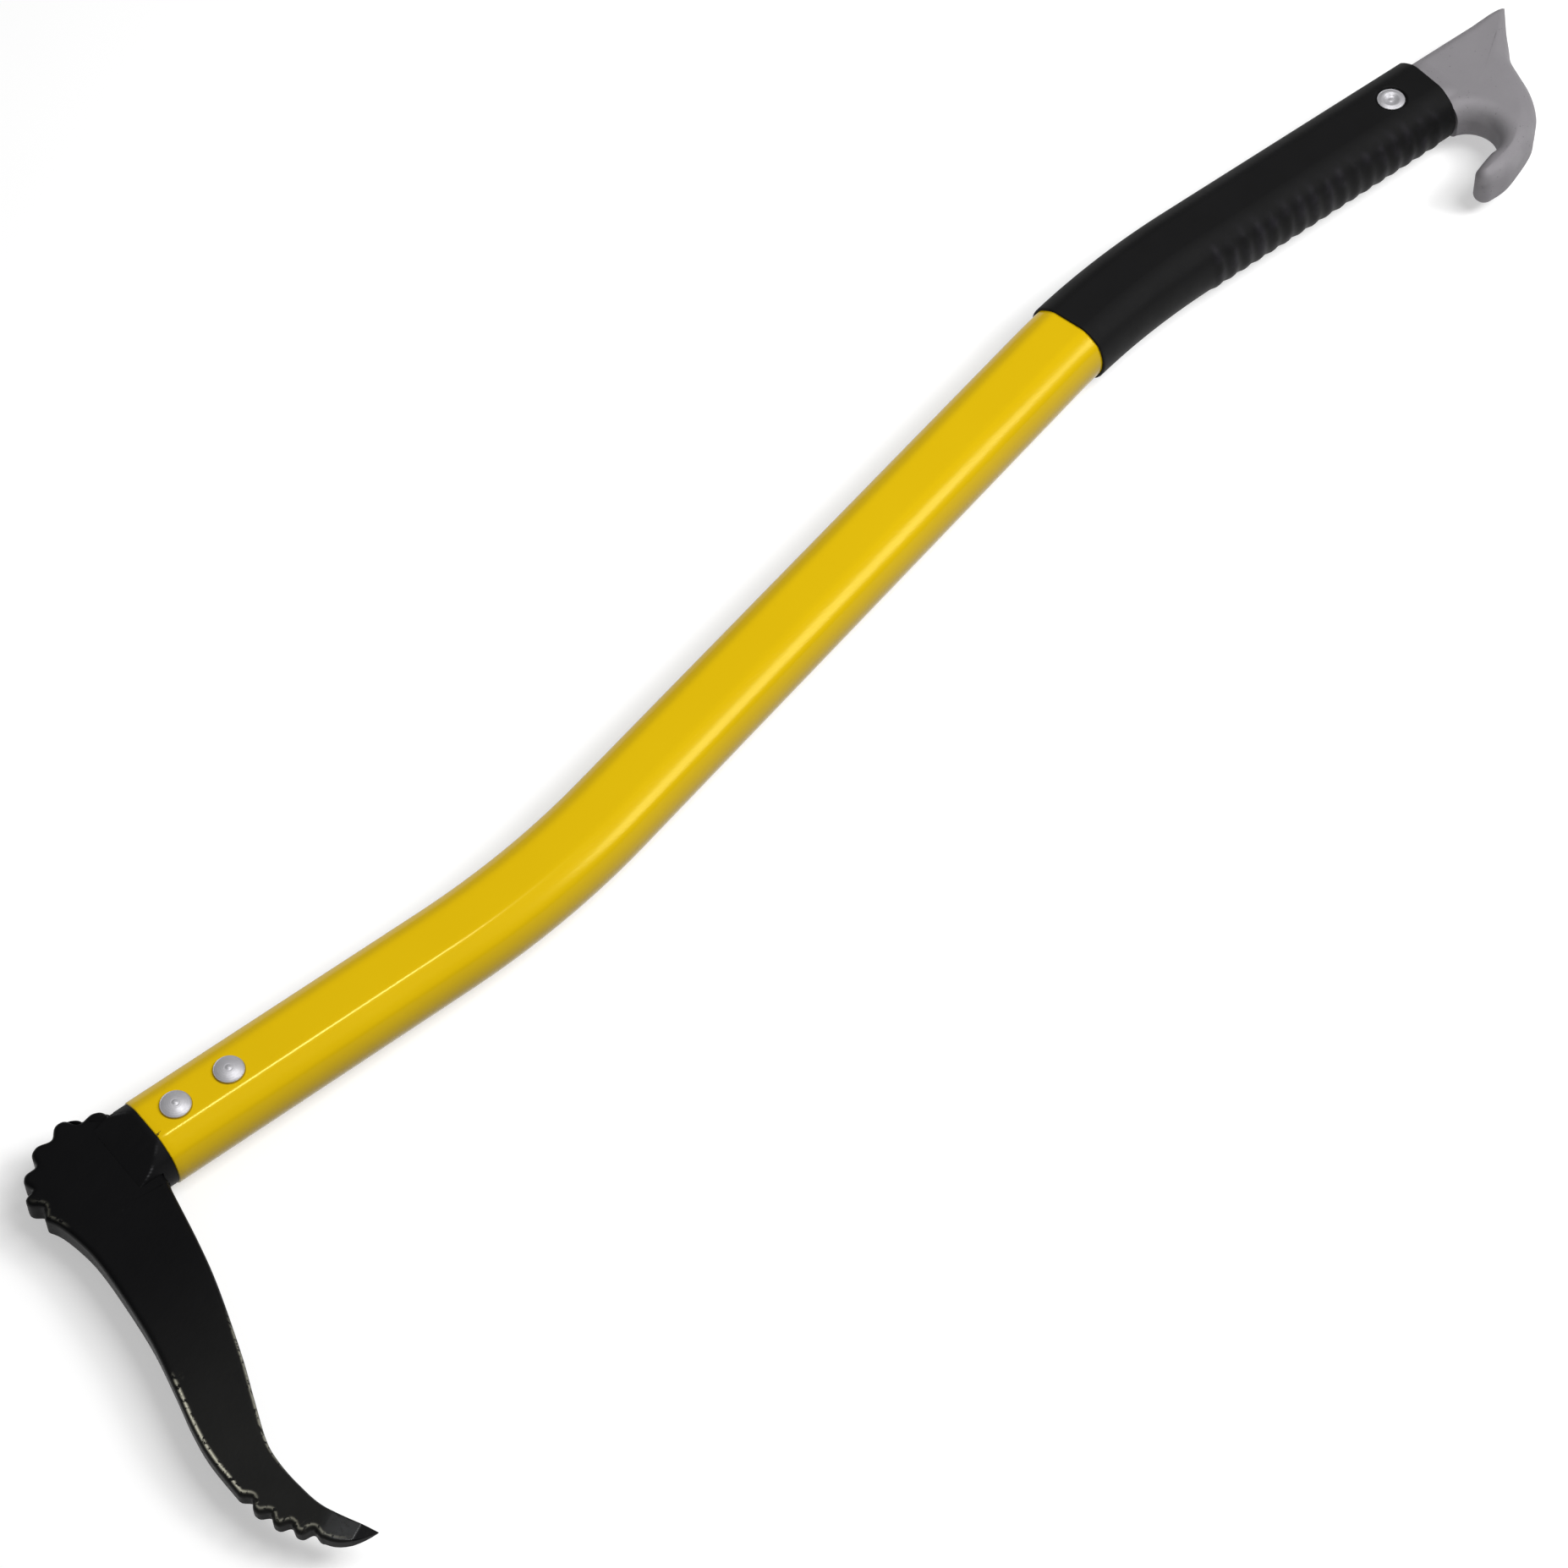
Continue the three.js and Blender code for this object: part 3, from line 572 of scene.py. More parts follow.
def black_paint():
    """Black paint on forged steel: scale under it, paler towards the point, wear on edges with a painted
    glint on the poll's lower lobes, a few scratches, and thin paint over the ground facet."""
    paint = Paint("black_paint", IOR=1.45, Specular_IOR_Level=0.05, Coat_IOR=1.45, Coat_Roughness=0.12)
    cloud = paint.noise(30, 4.0, 0.6)
    paler = paint.mark("paler")
    colour = paint.mix(cloud, linear(11, 11, 12), linear(16, 16, 17))
    colour = paint.mix(paler * (0.5 + 0.6 * paint.noise(14, 3.0)), colour, linear(31, 31, 30))
    ground = paint.mark("ground") * paint.between(paint.noise(2.2, 4.0, 0.65), 0.3, 0.5)
    colour = paint.mix(ground * (0.35 + 0.6 * paint.noise(3.5, 3.0)), colour, linear(56, 57, 58))
    scratch = paint.math("MAXIMUM", paint.scratches(0.3, 9, 1.1, 0.3), paint.scratches(0.25, 7, -0.5, 0.26))
    # Bare steel where the edges show wear; on the poll's lower lobes the same colour is a painted glint.
    wear_and_glint = paint.mark("wear_and_glint") * paint.between(paint.noise(1.7, 2.0, 0.6), 0.38, 0.5)
    steel = paint.math("MAXIMUM", wear_and_glint, scratch * 0.14)
    grey = paint.mix(paint.noise(1.2, 3.0), linear(182, 180, 164), linear(232, 229, 208))
    paint.feed("Base Color", paint.mix(steel, colour, grey))
    paint.feed("Roughness", 0.36 + 0.14 * paint.noise(9, 3.0) + 0.1 * ground)
    paint.feed("Coat Weight", 0.13 - 0.04 * paint.noise(12, 3.0) - 0.05 * ground)
    scale = paint.noise(7, 4.0, 0.55) * 0.7 + paint.noise(1.1, 2.0) * 0.16 - 0.3 * steel
    paint.bump(scale, 0.2)
    return paint.material


def black_nylon():
    """Black nylon: a fine even grain, faint flow marks and a painted highlight along the line where ramp and
    collar meet.
    """
    paint = Paint("black_nylon", IOR=1.5, Specular_IOR_Level=0.07)
    flow = paint.noise(12, 3.0, 0.5, paint.place((1, 2.5, 1)))
    colour = paint.mix(flow, linear(17, 17, 18), linear(24, 24, 25))
    # A painted highlight: a paler line where the ramp meets the collar's round corners.
    painted_highlight = paint.mark("seam_highlight") * paint.between(paint.noise(5, 2.0), 0.3, 0.6)
    paint.feed("Base Color", paint.mix(painted_highlight * 0.8, colour, linear(92, 92, 94)))
    paint.feed("Roughness", 0.4 + 0.12 * paint.noise(3, 3.0))
    paint.bump(paint.noise(0.45, 2.0) * 0.6 + 0.4 * flow, 0.05)
    return paint.material


def black_rubber():
    """Matt rubber: fine grain, a greyer bloom in blotches, and a painted highlight on the rib crests."""
    paint = Paint("black_rubber", IOR=1.45, Specular_IOR_Level=0.14)
    bloom = paint.noise(22, 4.0, 0.6)
    # A painted highlight: paler violet-grey blotches on the rib crests.
    painted_highlight = paint.mark("crest") * paint.between(paint.noise(8, 3.0), 0.38, 0.66)
    colour = paint.mix(bloom, linear(17, 17, 17), linear(24, 24, 25))
    paint.feed("Base Color", paint.mix(painted_highlight * 0.6, colour, linear(42, 40, 46)))
    paint.feed("Roughness", 0.5 + 0.14 * paint.noise(6, 3.0) - 0.08 * painted_highlight)
    paint.bump(paint.noise(0.5, 2.0) * 0.6 + 0.4 * paint.noise(4, 3.0), 0.06)
    return paint.material


def cast_metal():
    """Sand-blasted cast aluminium: fine pits, soft stains, and brighter edges."""
    paint = Paint("cast_metal", IOR=1.5, Specular_IOR_Level=0.5)
    stain = paint.noise(18, 4.0, 0.6)
    colour = paint.mix(stain, linear(148, 145, 149), linear(160, 157, 161))
    pits = paint.between(paint.cells(1.7), 0.2, 0.1) * paint.between(paint.noise(7, 2.0), 0.45, 0.6)
    colour = paint.mix(pits * 0.35, colour, linear(88, 87, 88))
    shine = paint.mark("edge") * paint.between(paint.noise(6, 3.0), 0.4, 0.65)
    colour = paint.mix(shine * 0.12, colour, linear(196, 196, 198))
    paint.feed("Base Color", colour)
    paint.feed("Metallic", 0.45 + 0.06 * shine)
    paint.feed("Roughness", 0.62 + 0.12 * paint.noise(3, 3.0) - 0.06 * shine)
    paint.bump(paint.noise(0.8, 3.0, 0.6) * 0.7 + 0.3 * paint.noise(5, 2.0) - 0.5 * pits, 0.08)
    return paint.material


def rivet_metal(name, x, y):
    """Bright formed aluminium: rings left by the setting tool, small dings and a soft tarnish."""
    paint = Paint(name, IOR=1.5)
    rings = paint.math("SINE", paint.distance_from(x, y) * RIVET_RINGS)
    tarnish = paint.noise(4, 3.0, 0.6)
    colour = paint.mix(tarnish, linear(190, 189, 193), linear(216, 215, 219))
    paint.feed("Base Color", colour)
    paint.feed("Metallic", 0.56 + 0.1 * tarnish)
    paint.feed("Roughness", 0.44 + 0.12 * paint.noise(1.5, 3.0))
    paint.bump(rings * 0.09 + paint.noise(1.3, 3.0) * 0.6, 0.08)
    return paint.material


# Handle

def handle_tube():
    """The section carried along the centre line on the outside, over a round edge at each end, and back along
    the inside. Rows are pairs of a distance and a growth, closer together in the bends."""
    ends = [TUBE_FIRST_ROW, HEAD_STRETCH, HEAD_STRETCH + BEND_LENGTH, SECOND_BEND, SECOND_BEND + BEND_LENGTH,
            TUBE_LENGTH - TUBE_FIRST_ROW]
    rows = [np.linspace(start, end, count, endpoint=False)
            for start, end, count in zip(ends, ends[1:], TUBE_ROWS)]
    plain = np.concatenate(rows + [ends[-1:]])
    tilt = np.linspace(0, math.pi / 2, 5)
    low, gone = TUBE_EDGE_ROUND * (1 - np.sin(tilt)), TUBE_EDGE_ROUND * (1 - np.cos(tilt))
    flat = np.zeros(len(plain))
    distance = np.concatenate([gone, plain, TUBE_LENGTH - gone[::-1],
                               TUBE_LENGTH - gone, plain[::-1], gone[::-1]])
    growth = np.concatenate([-low, flat, -low[::-1],
                             low - TUBE_WALL, flat - TUBE_WALL, low[::-1] - TUBE_WALL])
    rings = np.stack([section(g) for g in growth])
    return solid("handle_tube_skin", [(sweep(distance, rings[..., 0], rings[..., 1]), True)], crease=50)


def grip_sleeve():
    """The section grown by the rubber, plus rib waves on the finger side: one less the cosine along the
    handle, faded in round the section. Round the grip rivet the wall drops to the tube over a short step. The
    skin turns in over the tube's end and back along the bore."""
    def ring(growth):
        return section(growth, flat_points=40, corner_points=12)

    start, end = TUBE_LENGTH - GRIP_LENGTH, TUBE_LENGTH + GRIP_LIP
    ribs_end = TUBE_LENGTH - GRIP_RIB_SETBACK + GRIP_RIB_PITCH / 2
    ribs_start = ribs_end - GRIP_RIBS * GRIP_RIB_PITCH
    rivet_at = TUBE_LENGTH - GRIP_RIVET_SETBACK
    hole = GRIP_RIVET_HOLE + GRIP_HOLE_ROWS
    tilt = np.linspace(0, math.pi / 2, 7)
    rise, gone = 1 - np.sin(tilt), 1 - np.cos(tilt)
    body = np.unique(np.concatenate([
        np.linspace(start + GRIP_RIM_ROUND, ribs_start, 40),
        np.linspace(ribs_start, ribs_end, GRIP_RIBS * GRIP_RIB_ROWS + 1),
        rivet_at + np.linspace(-hole, hole, 57),
        np.linspace(ribs_end, end - GRIP_END_ROUND, 12)]).round(3))[1:-1]
    distance = np.concatenate([start + GRIP_RIM_ROUND * gone, body, end - GRIP_END_ROUND * rise])
    wall = np.concatenate([GRIP_WALL - GRIP_RIM_ROUND * rise, np.full(len(body), GRIP_WALL),
                           GRIP_WALL - GRIP_END_ROUND * gone])
    base = ring(0)
    from_end = ribs_end - distance
    in_ribs = (from_end > 0) & (from_end < GRIP_RIBS * GRIP_RIB_PITCH)
    crest = np.where(in_ribs, (1 - np.cos(2 * math.pi * from_end / GRIP_RIB_PITCH)) / 2, 0)
    wave = crest[:, None] * smoothstep(-base[:, 0] / (TUBE_WIDTH / 2), *RIB_FLANK_SHARES)
    grown = base + wall[:, None, None] * (ring(1) - base)
    across, up = grown[..., 0], grown[..., 1]
    far = np.hypot(distance[:, None] - rivet_at, across)
    sink = smoothstep(far, GRIP_RIVET_HOLE + GRIP_HOLE_OUTSIDE, GRIP_RIVET_HOLE - GRIP_HOLE_INSIDE)
    sink = sink * (np.abs(up) > TUBE_THICKNESS / 3)
    floor_at = np.sign(up) * (TUBE_THICKNESS / 2 + GRIP_HOLE_FLOOR)
    up = np.where(sink > 0, up * (1 - sink) + floor_at * sink, up)
    swell = 1 + GRIP_RIB_HEIGHT * wave / np.linalg.norm(base, axis=1)
    outside = sweep(distance, across * swell, up * swell)
    lip, bore = ring(GRIP_BORE_GAP - TUBE_WALL), ring(GRIP_BORE_GAP)
    turned = [(end, lip), (TUBE_LENGTH + SEAT_GAP, lip), (TUBE_LENGTH + SEAT_GAP, bore)]
    turned += [(d, bore) for d in np.linspace(TUBE_LENGTH - GRIP_BORE_ROW, start + GRIP_BORE_ROW, 40)]
    turned.append((start, bore))
    back, rings = np.array([d for d, _ in turned]), np.stack([points for _, points in turned])
    points = np.concatenate([outside, sweep(back, rings[..., 0], rings[..., 1])])
    # The crest mark carries where the rubber's painted highlight falls on the ribs.
    return solid("grip_sleeve_skin", [(points, True)], crease=45, marks={"crest": wave})


# Flat forgings and castings

def edge_distance(places, line):
    """Distance from each place to a line of straight pieces, and which piece is nearest."""
    start, span = line[:-1], np.diff(line, axis=0)
    along = np.einsum("kmj,mj->km", places[:, None] - start, span) / np.maximum((span ** 2).sum(-1), 1e-12)
    foot = start + np.clip(along, 0, 1)[..., None] * span
    away = np.linalg.norm(places[:, None] - foot, axis=-1)
    return away.min(1), away.argmin(1)


def plate(outer, inner, half_at, round_at, round_below=None):
    """A flat piece between two edges that run side by side from a root to a tip. Each station is a closed
    loop straight over the face, down one edge wall, back over the other face and up the other wall. Closer
    to the outline than the edge's radius, a face falls along a circle of that radius. Gives the grid, each
    point's distance from the outline, which is -1 on the walls, and its share of the way from the outer edge
    to the inner one."""
    line = np.concatenate([outer, inner[::-1][1:]])
    share = ((1 - np.cos(np.linspace(0, math.pi, PLATE_COLUMNS))) / 2)[:, None]
    face = outer[:, None] * (1 - share) + inner[:, None] * share
    places = face.reshape(-1, 2)
    chunks = [edge_distance(part, line) for part in np.array_split(places, len(places) // PLATE_CHUNK + 1)]
    away = np.concatenate([chunk[0] for chunk in chunks])
    near = np.concatenate([chunk[1] for chunk in chunks])
    half = half_at(places)
    heights = []
    for radius in (round_at(line), (round_below or round_at)(line)):
        bend = (radius[:-1] + radius[1:])[near] / 2
        depth = bend - np.minimum(away, bend)
        height = half - bend + np.sqrt(np.maximum(bend ** 2 - depth ** 2, 0))
        heights.append(np.maximum(height, LEAST_HALF).reshape(face.shape[:2]))
    over, under = heights
    away = away.reshape(face.shape[:2])
    top = np.concatenate([face, over[..., None]], -1)
    bottom = np.concatenate([face, -under[..., None]], -1)[:, ::-1]
    down = np.array(WALL_SHARES)
    right = np.concatenate([np.repeat(face[:, -1:], 3, 1),
                            (over[:, -1:] * (1 - down) - under[:, -1:] * down)[..., None]], -1)
    left = np.concatenate([np.repeat(face[:, :1], 3, 1),
                           (over[:, :1] * down - under[:, :1] * (1 - down))[..., None]], -1)
    skin = np.concatenate([top, right, bottom, left], 1)
    deep = np.full((len(outer), 3), -1.0)
    across = np.concatenate([share[:, 0], [1, 1, 1], share[::-1, 0], [0, 0, 0]])
    away = np.concatenate([away, deep, away[:, ::-1], deep], 1)
    return skin, away, np.broadcast_to(across, skin.shape[:2])


def edge_mark(away, radius, place=0.3, width=0.35):
    """A bell curve of the distance from the outline: 1 along a line on a round edge, 0 on the flat faces and
    on the walls. Place and width are shares of the edge's radius."""
    return np.where(away < 0, 0, np.exp(-((away - place * radius) / (width * radius)) ** 2))


def matched(outer, inner, pairs, count):
    """Both edges with the same number of points. Pairs of places that face each other steer how far along the
    inner edge each outer point looks, and a running average smooths that."""
    def share_of(points, place):
        return lengths_along(points)[np.argmin(np.linalg.norm(points - place, axis=1))]

    keys = [(0.0, 0.0)] + [(share_of(outer, a), share_of(inner, b)) for a, b in pairs] + [(1.0, 1.0)]
    outer_shares = np.linspace(0, 1, count)
    inner_shares = np.interp(outer_shares, *zip(*keys))
    reach = 9
    padded = np.pad(inner_shares, reach, mode="reflect", reflect_type="odd")
    smooth = np.convolve(padded, np.ones(2 * reach + 1) / (2 * reach + 1), "valid")
    smooth[0], smooth[-1] = 0, 1
    return at_shares(outer, outer_shares), at_shares(inner, smooth)


def scalloped(points, lobe, depth):
    """Hollows pressed into a row to the left of its direction: the cube of the sine between whole lobes."""
    hollow = np.abs(np.sin(math.pi * lobe)) ** 3
    return points + left_of(points) * (depth * hollow)[:, None]


def behind_point(places):
    """How far places lie behind the hook's point, along its throat side."""
    along = HOOK_TIP - np.array(HOOK_THROAT[0]) * HOOK_REACH
    return (HOOK_TIP - places) @ (along / np.linalg.norm(along))


def head_half(points):
    """Half the head's thickness: it thins smoothly along the hook, and two ground planes thin the point."""
    behind = behind_point(points)
    taper = smoothstep(-points[:, 1] / HOOK_REACH, *HOOK_TAPER_SHARES)
    forged = (HEAD_THICKNESS + (HOOK_TIP_THICKNESS - HEAD_THICKNESS) * taper) / 2
    slope = (HOOK_TIP_THICKNESS - POINT_THICKNESS) / POINT_LENGTH / 2
    once = POINT_THICKNESS / 2 + slope * behind
    bevel_start = POINT_THICKNESS / 2 + slope * BEVEL_LENGTH
    twice = BEVEL_THICKNESS / 2 + (bevel_start - BEVEL_THICKNESS / 2) * behind / BEVEL_LENGTH
    return np.maximum(np.minimum(np.minimum(forged, once), twice), BEVEL_THICKNESS / 2)


def head_round(points):
    """The head's edge radius, which shrinks smoothly towards the hook's point."""
    near = smoothstep(np.linalg.norm(points - HOOK_TIP, axis=1), 0, POINT_LENGTH + HEAD_THICKNESS)
    return HEAD_EDGE_ROUND * np.maximum(near, LEAST_ROUND_SHARE)


def fades(value, pairs):
    """The product of smooth steps, each from its first value to its second."""
    return math.prod(smoothstep(value, *pair) for pair in pairs)


def outer_wear_and_glint(points):
    """The outer edge's wear: on the straight part of the back and less on the serrations. On the poll's lower
    lobes the same mark is a faint painted glint."""
    x, y = points.T / HOOK_REACH
    back = fades(y, BACK_WEAR_Y_SHARES)
    saw = SAW_WEAR * fades(y, SAW_WEAR_Y_SHARES) * fades(x, SAW_WEAR_X_SHARES)
    # A painted glint on the poll's lower lobes.
    lobes = LOBE_GLINT * fades(x, LOBE_GLINT_X_SHARES) * fades(y, LOBE_GLINT_Y_SHARES)
    return np.clip(back + saw + lobes, 0, 1)


def inner_wear(points):
    """The throat's edge wear: along its middle."""
    return THROAT_WEAR * fades(points[:, 1] / HOOK_REACH, THROAT_WEAR_Y_SHARES)


def head_edges():
    """The head's scalloped poll, back, serrations and belly as the outer edge, and its collar line and throat
    as the inner one."""
    reach = HOOK_REACH
    lobes = len(POLL_TIPS) - 1
    lobe = np.linspace(FIRST_LOBE, lobes, 420)
    poll = scalloped(spline(np.array(POLL_TIPS) * reach, lobe / lobes), lobe, POLL_HOLLOW_DEPTH)
    back = spline(np.concatenate([poll[-1:], np.array(HOOK_BACK) * reach]), np.linspace(0, 1, 400))
    bend = [np.array(place) * reach for place in (HOOK_BACK[-1], SERRATED_BEND, SERRATED_END)]
    row = np.linspace(0, 1, 360)
    saw = scalloped(bezier(*bend, row), row * SERRATIONS, SERRATION_DEPTH)
    belly = bezier(bend[2], np.array(POINT_BELLY) * reach, HOOK_TIP, np.linspace(0, 1, 80))
    outer = np.concatenate([poll, back[1:], saw[1:], belly[1:]])
    shoulder = np.array([-SHOULDER_SETBACK, HOOK_THROAT[-1][1] * reach + HEAD_EDGE_ROUND])
    throat = np.concatenate([[HOOK_TIP], np.array(HOOK_THROAT) * reach, [shoulder]])
    throat = spline(throat, np.linspace(0, 1, 600))
    collar = np.array([poll[0] + (COLLAR_LINE_INSET, -COLLAR_LINE_INSET), shoulder])
    inner = np.concatenate([at_shares(collar, np.linspace(0, 1, 120))[:-1], throat[::-1]])
    return matched(outer, inner, HEAD_PAIRS, HEAD_ROWS)


def hook_head():
    """Forged head: a plate between its two edges, and a bar for the tang. It carries its edge wear with a
    painted glint on the poll's lobes, where it is ground behind the point's bevel and where it gets paler."""
    outer, inner = head_edges()
    skin, away, across = plate(outer, inner, head_half, head_round)
    outside = across < 0.5
    behind = behind_point(skin[..., :2])
    ground = (smoothstep(behind, POINT_LENGTH + FACET_BLUR, POINT_LENGTH - FACET_DEPTH)
              * smoothstep(behind, BEVEL_LENGTH - BEVEL_BLUR, BEVEL_LENGTH + BEVEL_OVERLAP)
              * (away > HEAD_EDGE_ROUND / 3))
    # Wear along both edges, and a painted glint on the poll's lower lobes.
    wear = np.where(outside, outer_wear_and_glint(outer)[:, None], inner_wear(inner)[:, None])
    place = np.where(outside, OUTER_WEAR_AND_GLINT_PLACE, INNER_WEAR_PLACE)
    wear_and_glint = edge_mark(away, HEAD_EDGE_ROUND, place, WEAR_AND_GLINT_WIDTH) * wear
    paler = smoothstep(-skin[..., 1] / HOOK_REACH, *PALER_SHARES) * (behind > BEVEL_LENGTH)
    wide, high = TANG_WIDTH / 2, HEAD_THICKNESS / 2
    ring = np.array([(wide, high), (-wide, high), (-wide, -high), (wide, -high)])
    tang = bar(ring, (-SHOULDER_SETBACK - TANG_OVERLAP, TANG_LENGTH))
    marks = {"wear_and_glint": wear_and_glint, "ground": ground, "paler": paler}
    return solid("hook_head_skin", [(skin, False), (tang, False)], crease=32, marks=marks)


def cast_round(points):
    """The casting's edge radius, which shrinks smoothly towards the heel's point and the finger's tip."""
    heel, finger = (np.linalg.norm(points - place, axis=1) for place in (HEEL_POINT, FINGER_TIP))
    share = smoothstep(np.minimum(heel, finger), FINGER_TIP_RADIUS, CAST_THICKNESS)
    return CAST_TIP_ROUND + (CAST_EDGE_ROUND - CAST_TIP_ROUND) * share


def cast_round_over(points):
    """The radius on the upper side, larger on the cheek beside the throat and along the outer back."""
    cheek = smoothstep(np.linalg.norm(points - THROAT_START, axis=1), *CHEEK_REACH)
    back = smoothstep(np.linalg.norm(points - HEEL_POINT, axis=1), *BACK_REACH)
    back = back * (points[:, 1] < END_Y + BACK_TOP)
    return cast_round(points) + np.maximum(CHEEK_ROUND * cheek, BACK_ROUND * back)


def cast_half(points):
    """The flat's half thickness, raised to the height of the tube's bore over the neck."""
    bore = corner(TUBE_CORNER, CORNER_TILTS, BORE_FIT, 40)
    height = np.interp(np.abs(points[:, 1] - END_Y), bore[:, 0], bore[:, 1])
    rise = np.maximum(height - CAST_THICKNESS / 2, 0)
    return CAST_THICKNESS / 2 + rise * smoothstep(points[:, 0], NECK[0] + NECK_BLEND, NECK[0])


def cast_edges():
    """The casting's straight top, heel and outer back as the outer edge, and its throat and the finger's
    inside as the inner one. They meet half way round the finger's tip."""
    first = math.acos(THROAT_SETBACK / THROAT_RADIUS)
    throat = arc(NECK + (-THROAT_SETBACK, -THROAT_DROP), THROAT_RADIUS, first, -math.pi / 2, 160)
    tip = arc(FINGER_TIP, FINGER_TIP_RADIUS, math.pi * 2 / 3, math.pi * 3 / 2, 80)
    middle = len(tip) // 2
    top = NECK + (0, HEEL_RISE) + np.array(CAST_TOP)
    heel = np.concatenate([tip[-1:], NECK + np.array(HEEL_EDGE) * HEEL_REACH])
    heel = spline(heel, np.linspace(0, 1, 500))
    heel[-1] = top[-1]
    outer = [at_shares(top, np.linspace(0, 1, 200)), heel[::-1][1:], tip[middle:][::-1][1:]]
    finger = at_shares(np.array([throat[-1], tip[0]]), np.linspace(0, 1, 40))
    inner = [throat, finger[1:], tip[1:middle + 1]]
    pairs = [(NECK + a, NECK + b) for a, b in CAST_PAIRS]
    return matched(np.concatenate(outer), np.concatenate(inner), pairs, CAST_ROWS)


def end_hook():
    """A plate between its two edges, and a spigot that fills the tube's bore and slims into the neck."""
    outer, inner = cast_edges()
    skin, away, _ = plate(outer, inner, cast_half, cast_round_over, cast_round)
    ring = section(BORE_FIT)
    ends = np.array([END_X - SPIGOT_LENGTH, NECK[0], NECK[0] + NECK_BLEND])[:, None]
    slim = np.array([1, 1, NECK_SLIM])[:, None]
    spigot = np.stack(np.broadcast_arrays(ends, END_Y + ring[:, 0] * slim, ring[:, 1] * slim), -1)
    marks = {"edge": edge_mark(away, CAST_EDGE_ROUND)}
    return solid("end_hook_skin", [(skin, False), (spigot, False)], crease=40, marks=marks)


# Adapter and rivets

def ramped(x, ring):
    """A ring of (across, up) points at each place along X. Its height is the smooth smaller of its own and a
    ramp's that falls towards the head. Also gives a mark that is 1 where the ramp cuts the section's round
    corners; the nylon paints a highlight along it."""
    x, across = np.broadcast_arrays(x[:, None], ring[:, 0])
    ramp = RAMP_FOOT + (COLLAR_TOP - RAMP_FOOT) * (x + RAMP_LENGTH) / (RAMP_LENGTH - RAMP_TOP)
    height = np.abs(ring[:, 1])
    up = np.sign(ring[:, 1]) * smooth_min(height, ramp, RAMP_FILLET)
    flat = TUBE_WIDTH / 2 - TUBE_CORNER
    near = np.exp(-((height - ramp) / SEAM_HIGHLIGHT_WIDTH) ** 2)
    seam_highlight = near * smoothstep(np.abs(across), flat + SEAM_HIGHLIGHT_START, flat + SEAM_HIGHLIGHT_END)
    return np.stack([x, across, up], -1), seam_highlight


def head_adapter():
    """Nylon adapter: a closed collar next to the handle, a wedge on each face of the head beyond it, and a
    plug in the handle's bore. The two middles that close a grid's ends carry no mark."""
    middles = [0, 0]
    outline = section(-COLLAR_INSET, flat_points=24, corner_points=24)
    x = np.concatenate([np.linspace(-SHOULDER_SETBACK, -COLLAR_LAST_ROW, 24), [-SEAT_GAP]])
    collar, seam_highlight = ramped(x, outline)
    grids, seam_highlights = [(collar, False)], [seam_highlight.ravel(), middles]
    foot = HEAD_THICKNESS / 2 + SEAT_GAP
    half = outline[(outline[:, 1] > foot) & (outline[:, 0] < RAMP_TRIM)]
    half = half[np.argsort(-half[:, 0])]
    wedge, seam_highlight = ramped(np.linspace(-RAMP_LENGTH, RAMP_OVERLAP - SHOULDER_SETBACK, 48), half)
    seam_highlight = np.pad(seam_highlight, ((0, 0), (0, len(half)))).ravel()
    for side in (1, -1):
        base = wedge[:, ::-1] * (1, 1, 0) + (0, 0, foot * side)
        grids.append((np.concatenate([wedge * (1, 1, side), base], 1), False))
        seam_highlights += [seam_highlight, middles]
    grids.append((bar(section(BORE_FIT), (PLUG_START, PLUG_END)), False))
    return solid("head_adapter_skin", grids, crease=50, marks={"seam_highlight": np.concatenate(seam_highlights)})


def rivet(name, x, y, dish):
    """A rivet turned about its axis, the same on both sides: a shank, a rolled rim a little above its seat,
    and a low ball cap with a nub in a shallow ring, sunk by a dish where one is given."""
    seat = TUBE_THICKNESS / 2 + SEAT_GAP
    under = seat + RIVET_GAP
    tilt = np.linspace(-math.pi / 2, RIM_TURN, 9)
    rim = RIVET_RADIUS - RIVET_RIM + RIVET_RIM * np.cos(tilt)
    rise = under + RIVET_RIM * (1 + np.sin(tilt))
    top = np.linspace(rim[-1], POLE_RADIUS, 40)
    ball = (RIVET_RADIUS ** 2 + RIVET_HEIGHT ** 2) / (2 * RIVET_HEIGHT)
    dome = np.sqrt(ball ** 2 - top ** 2) - np.sqrt(ball ** 2 - top[0] ** 2)
    dome *= (seat + RIVET_HEIGHT - rise[-1]) / dome[-1]
    dome += NUB_HEIGHT * smoothstep(top, *NUB_EDGE)
    dome -= NUB_RING_DEPTH * np.exp(-((top - NUB_RING_RADIUS) / NUB_RING_WIDTH) ** 2)
    dome -= dish * smoothstep(top / RIVET_RADIUS, *DISH_SHARES)
    radius = np.concatenate([[RIVET_SHANK, RIVET_SHANK], rim, top[1:]])
    height = np.concatenate([[0, under], rise, rise[-1] + dome[1:] - NUB_HEIGHT])
    turn = np.linspace(0, 2 * math.pi, RIVET_SIDES, endpoint=False)
    reach = np.concatenate([radius[::-1], radius[1:]])[:, None]
    level = np.concatenate([-height[::-1], height[1:]])[:, None]
    points = np.broadcast_arrays(x + reach * np.cos(turn), y + reach * np.sin(turn), level)
    return solid(name + "_skin", [(np.stack(points, -1), False)], crease=50)


# The tool

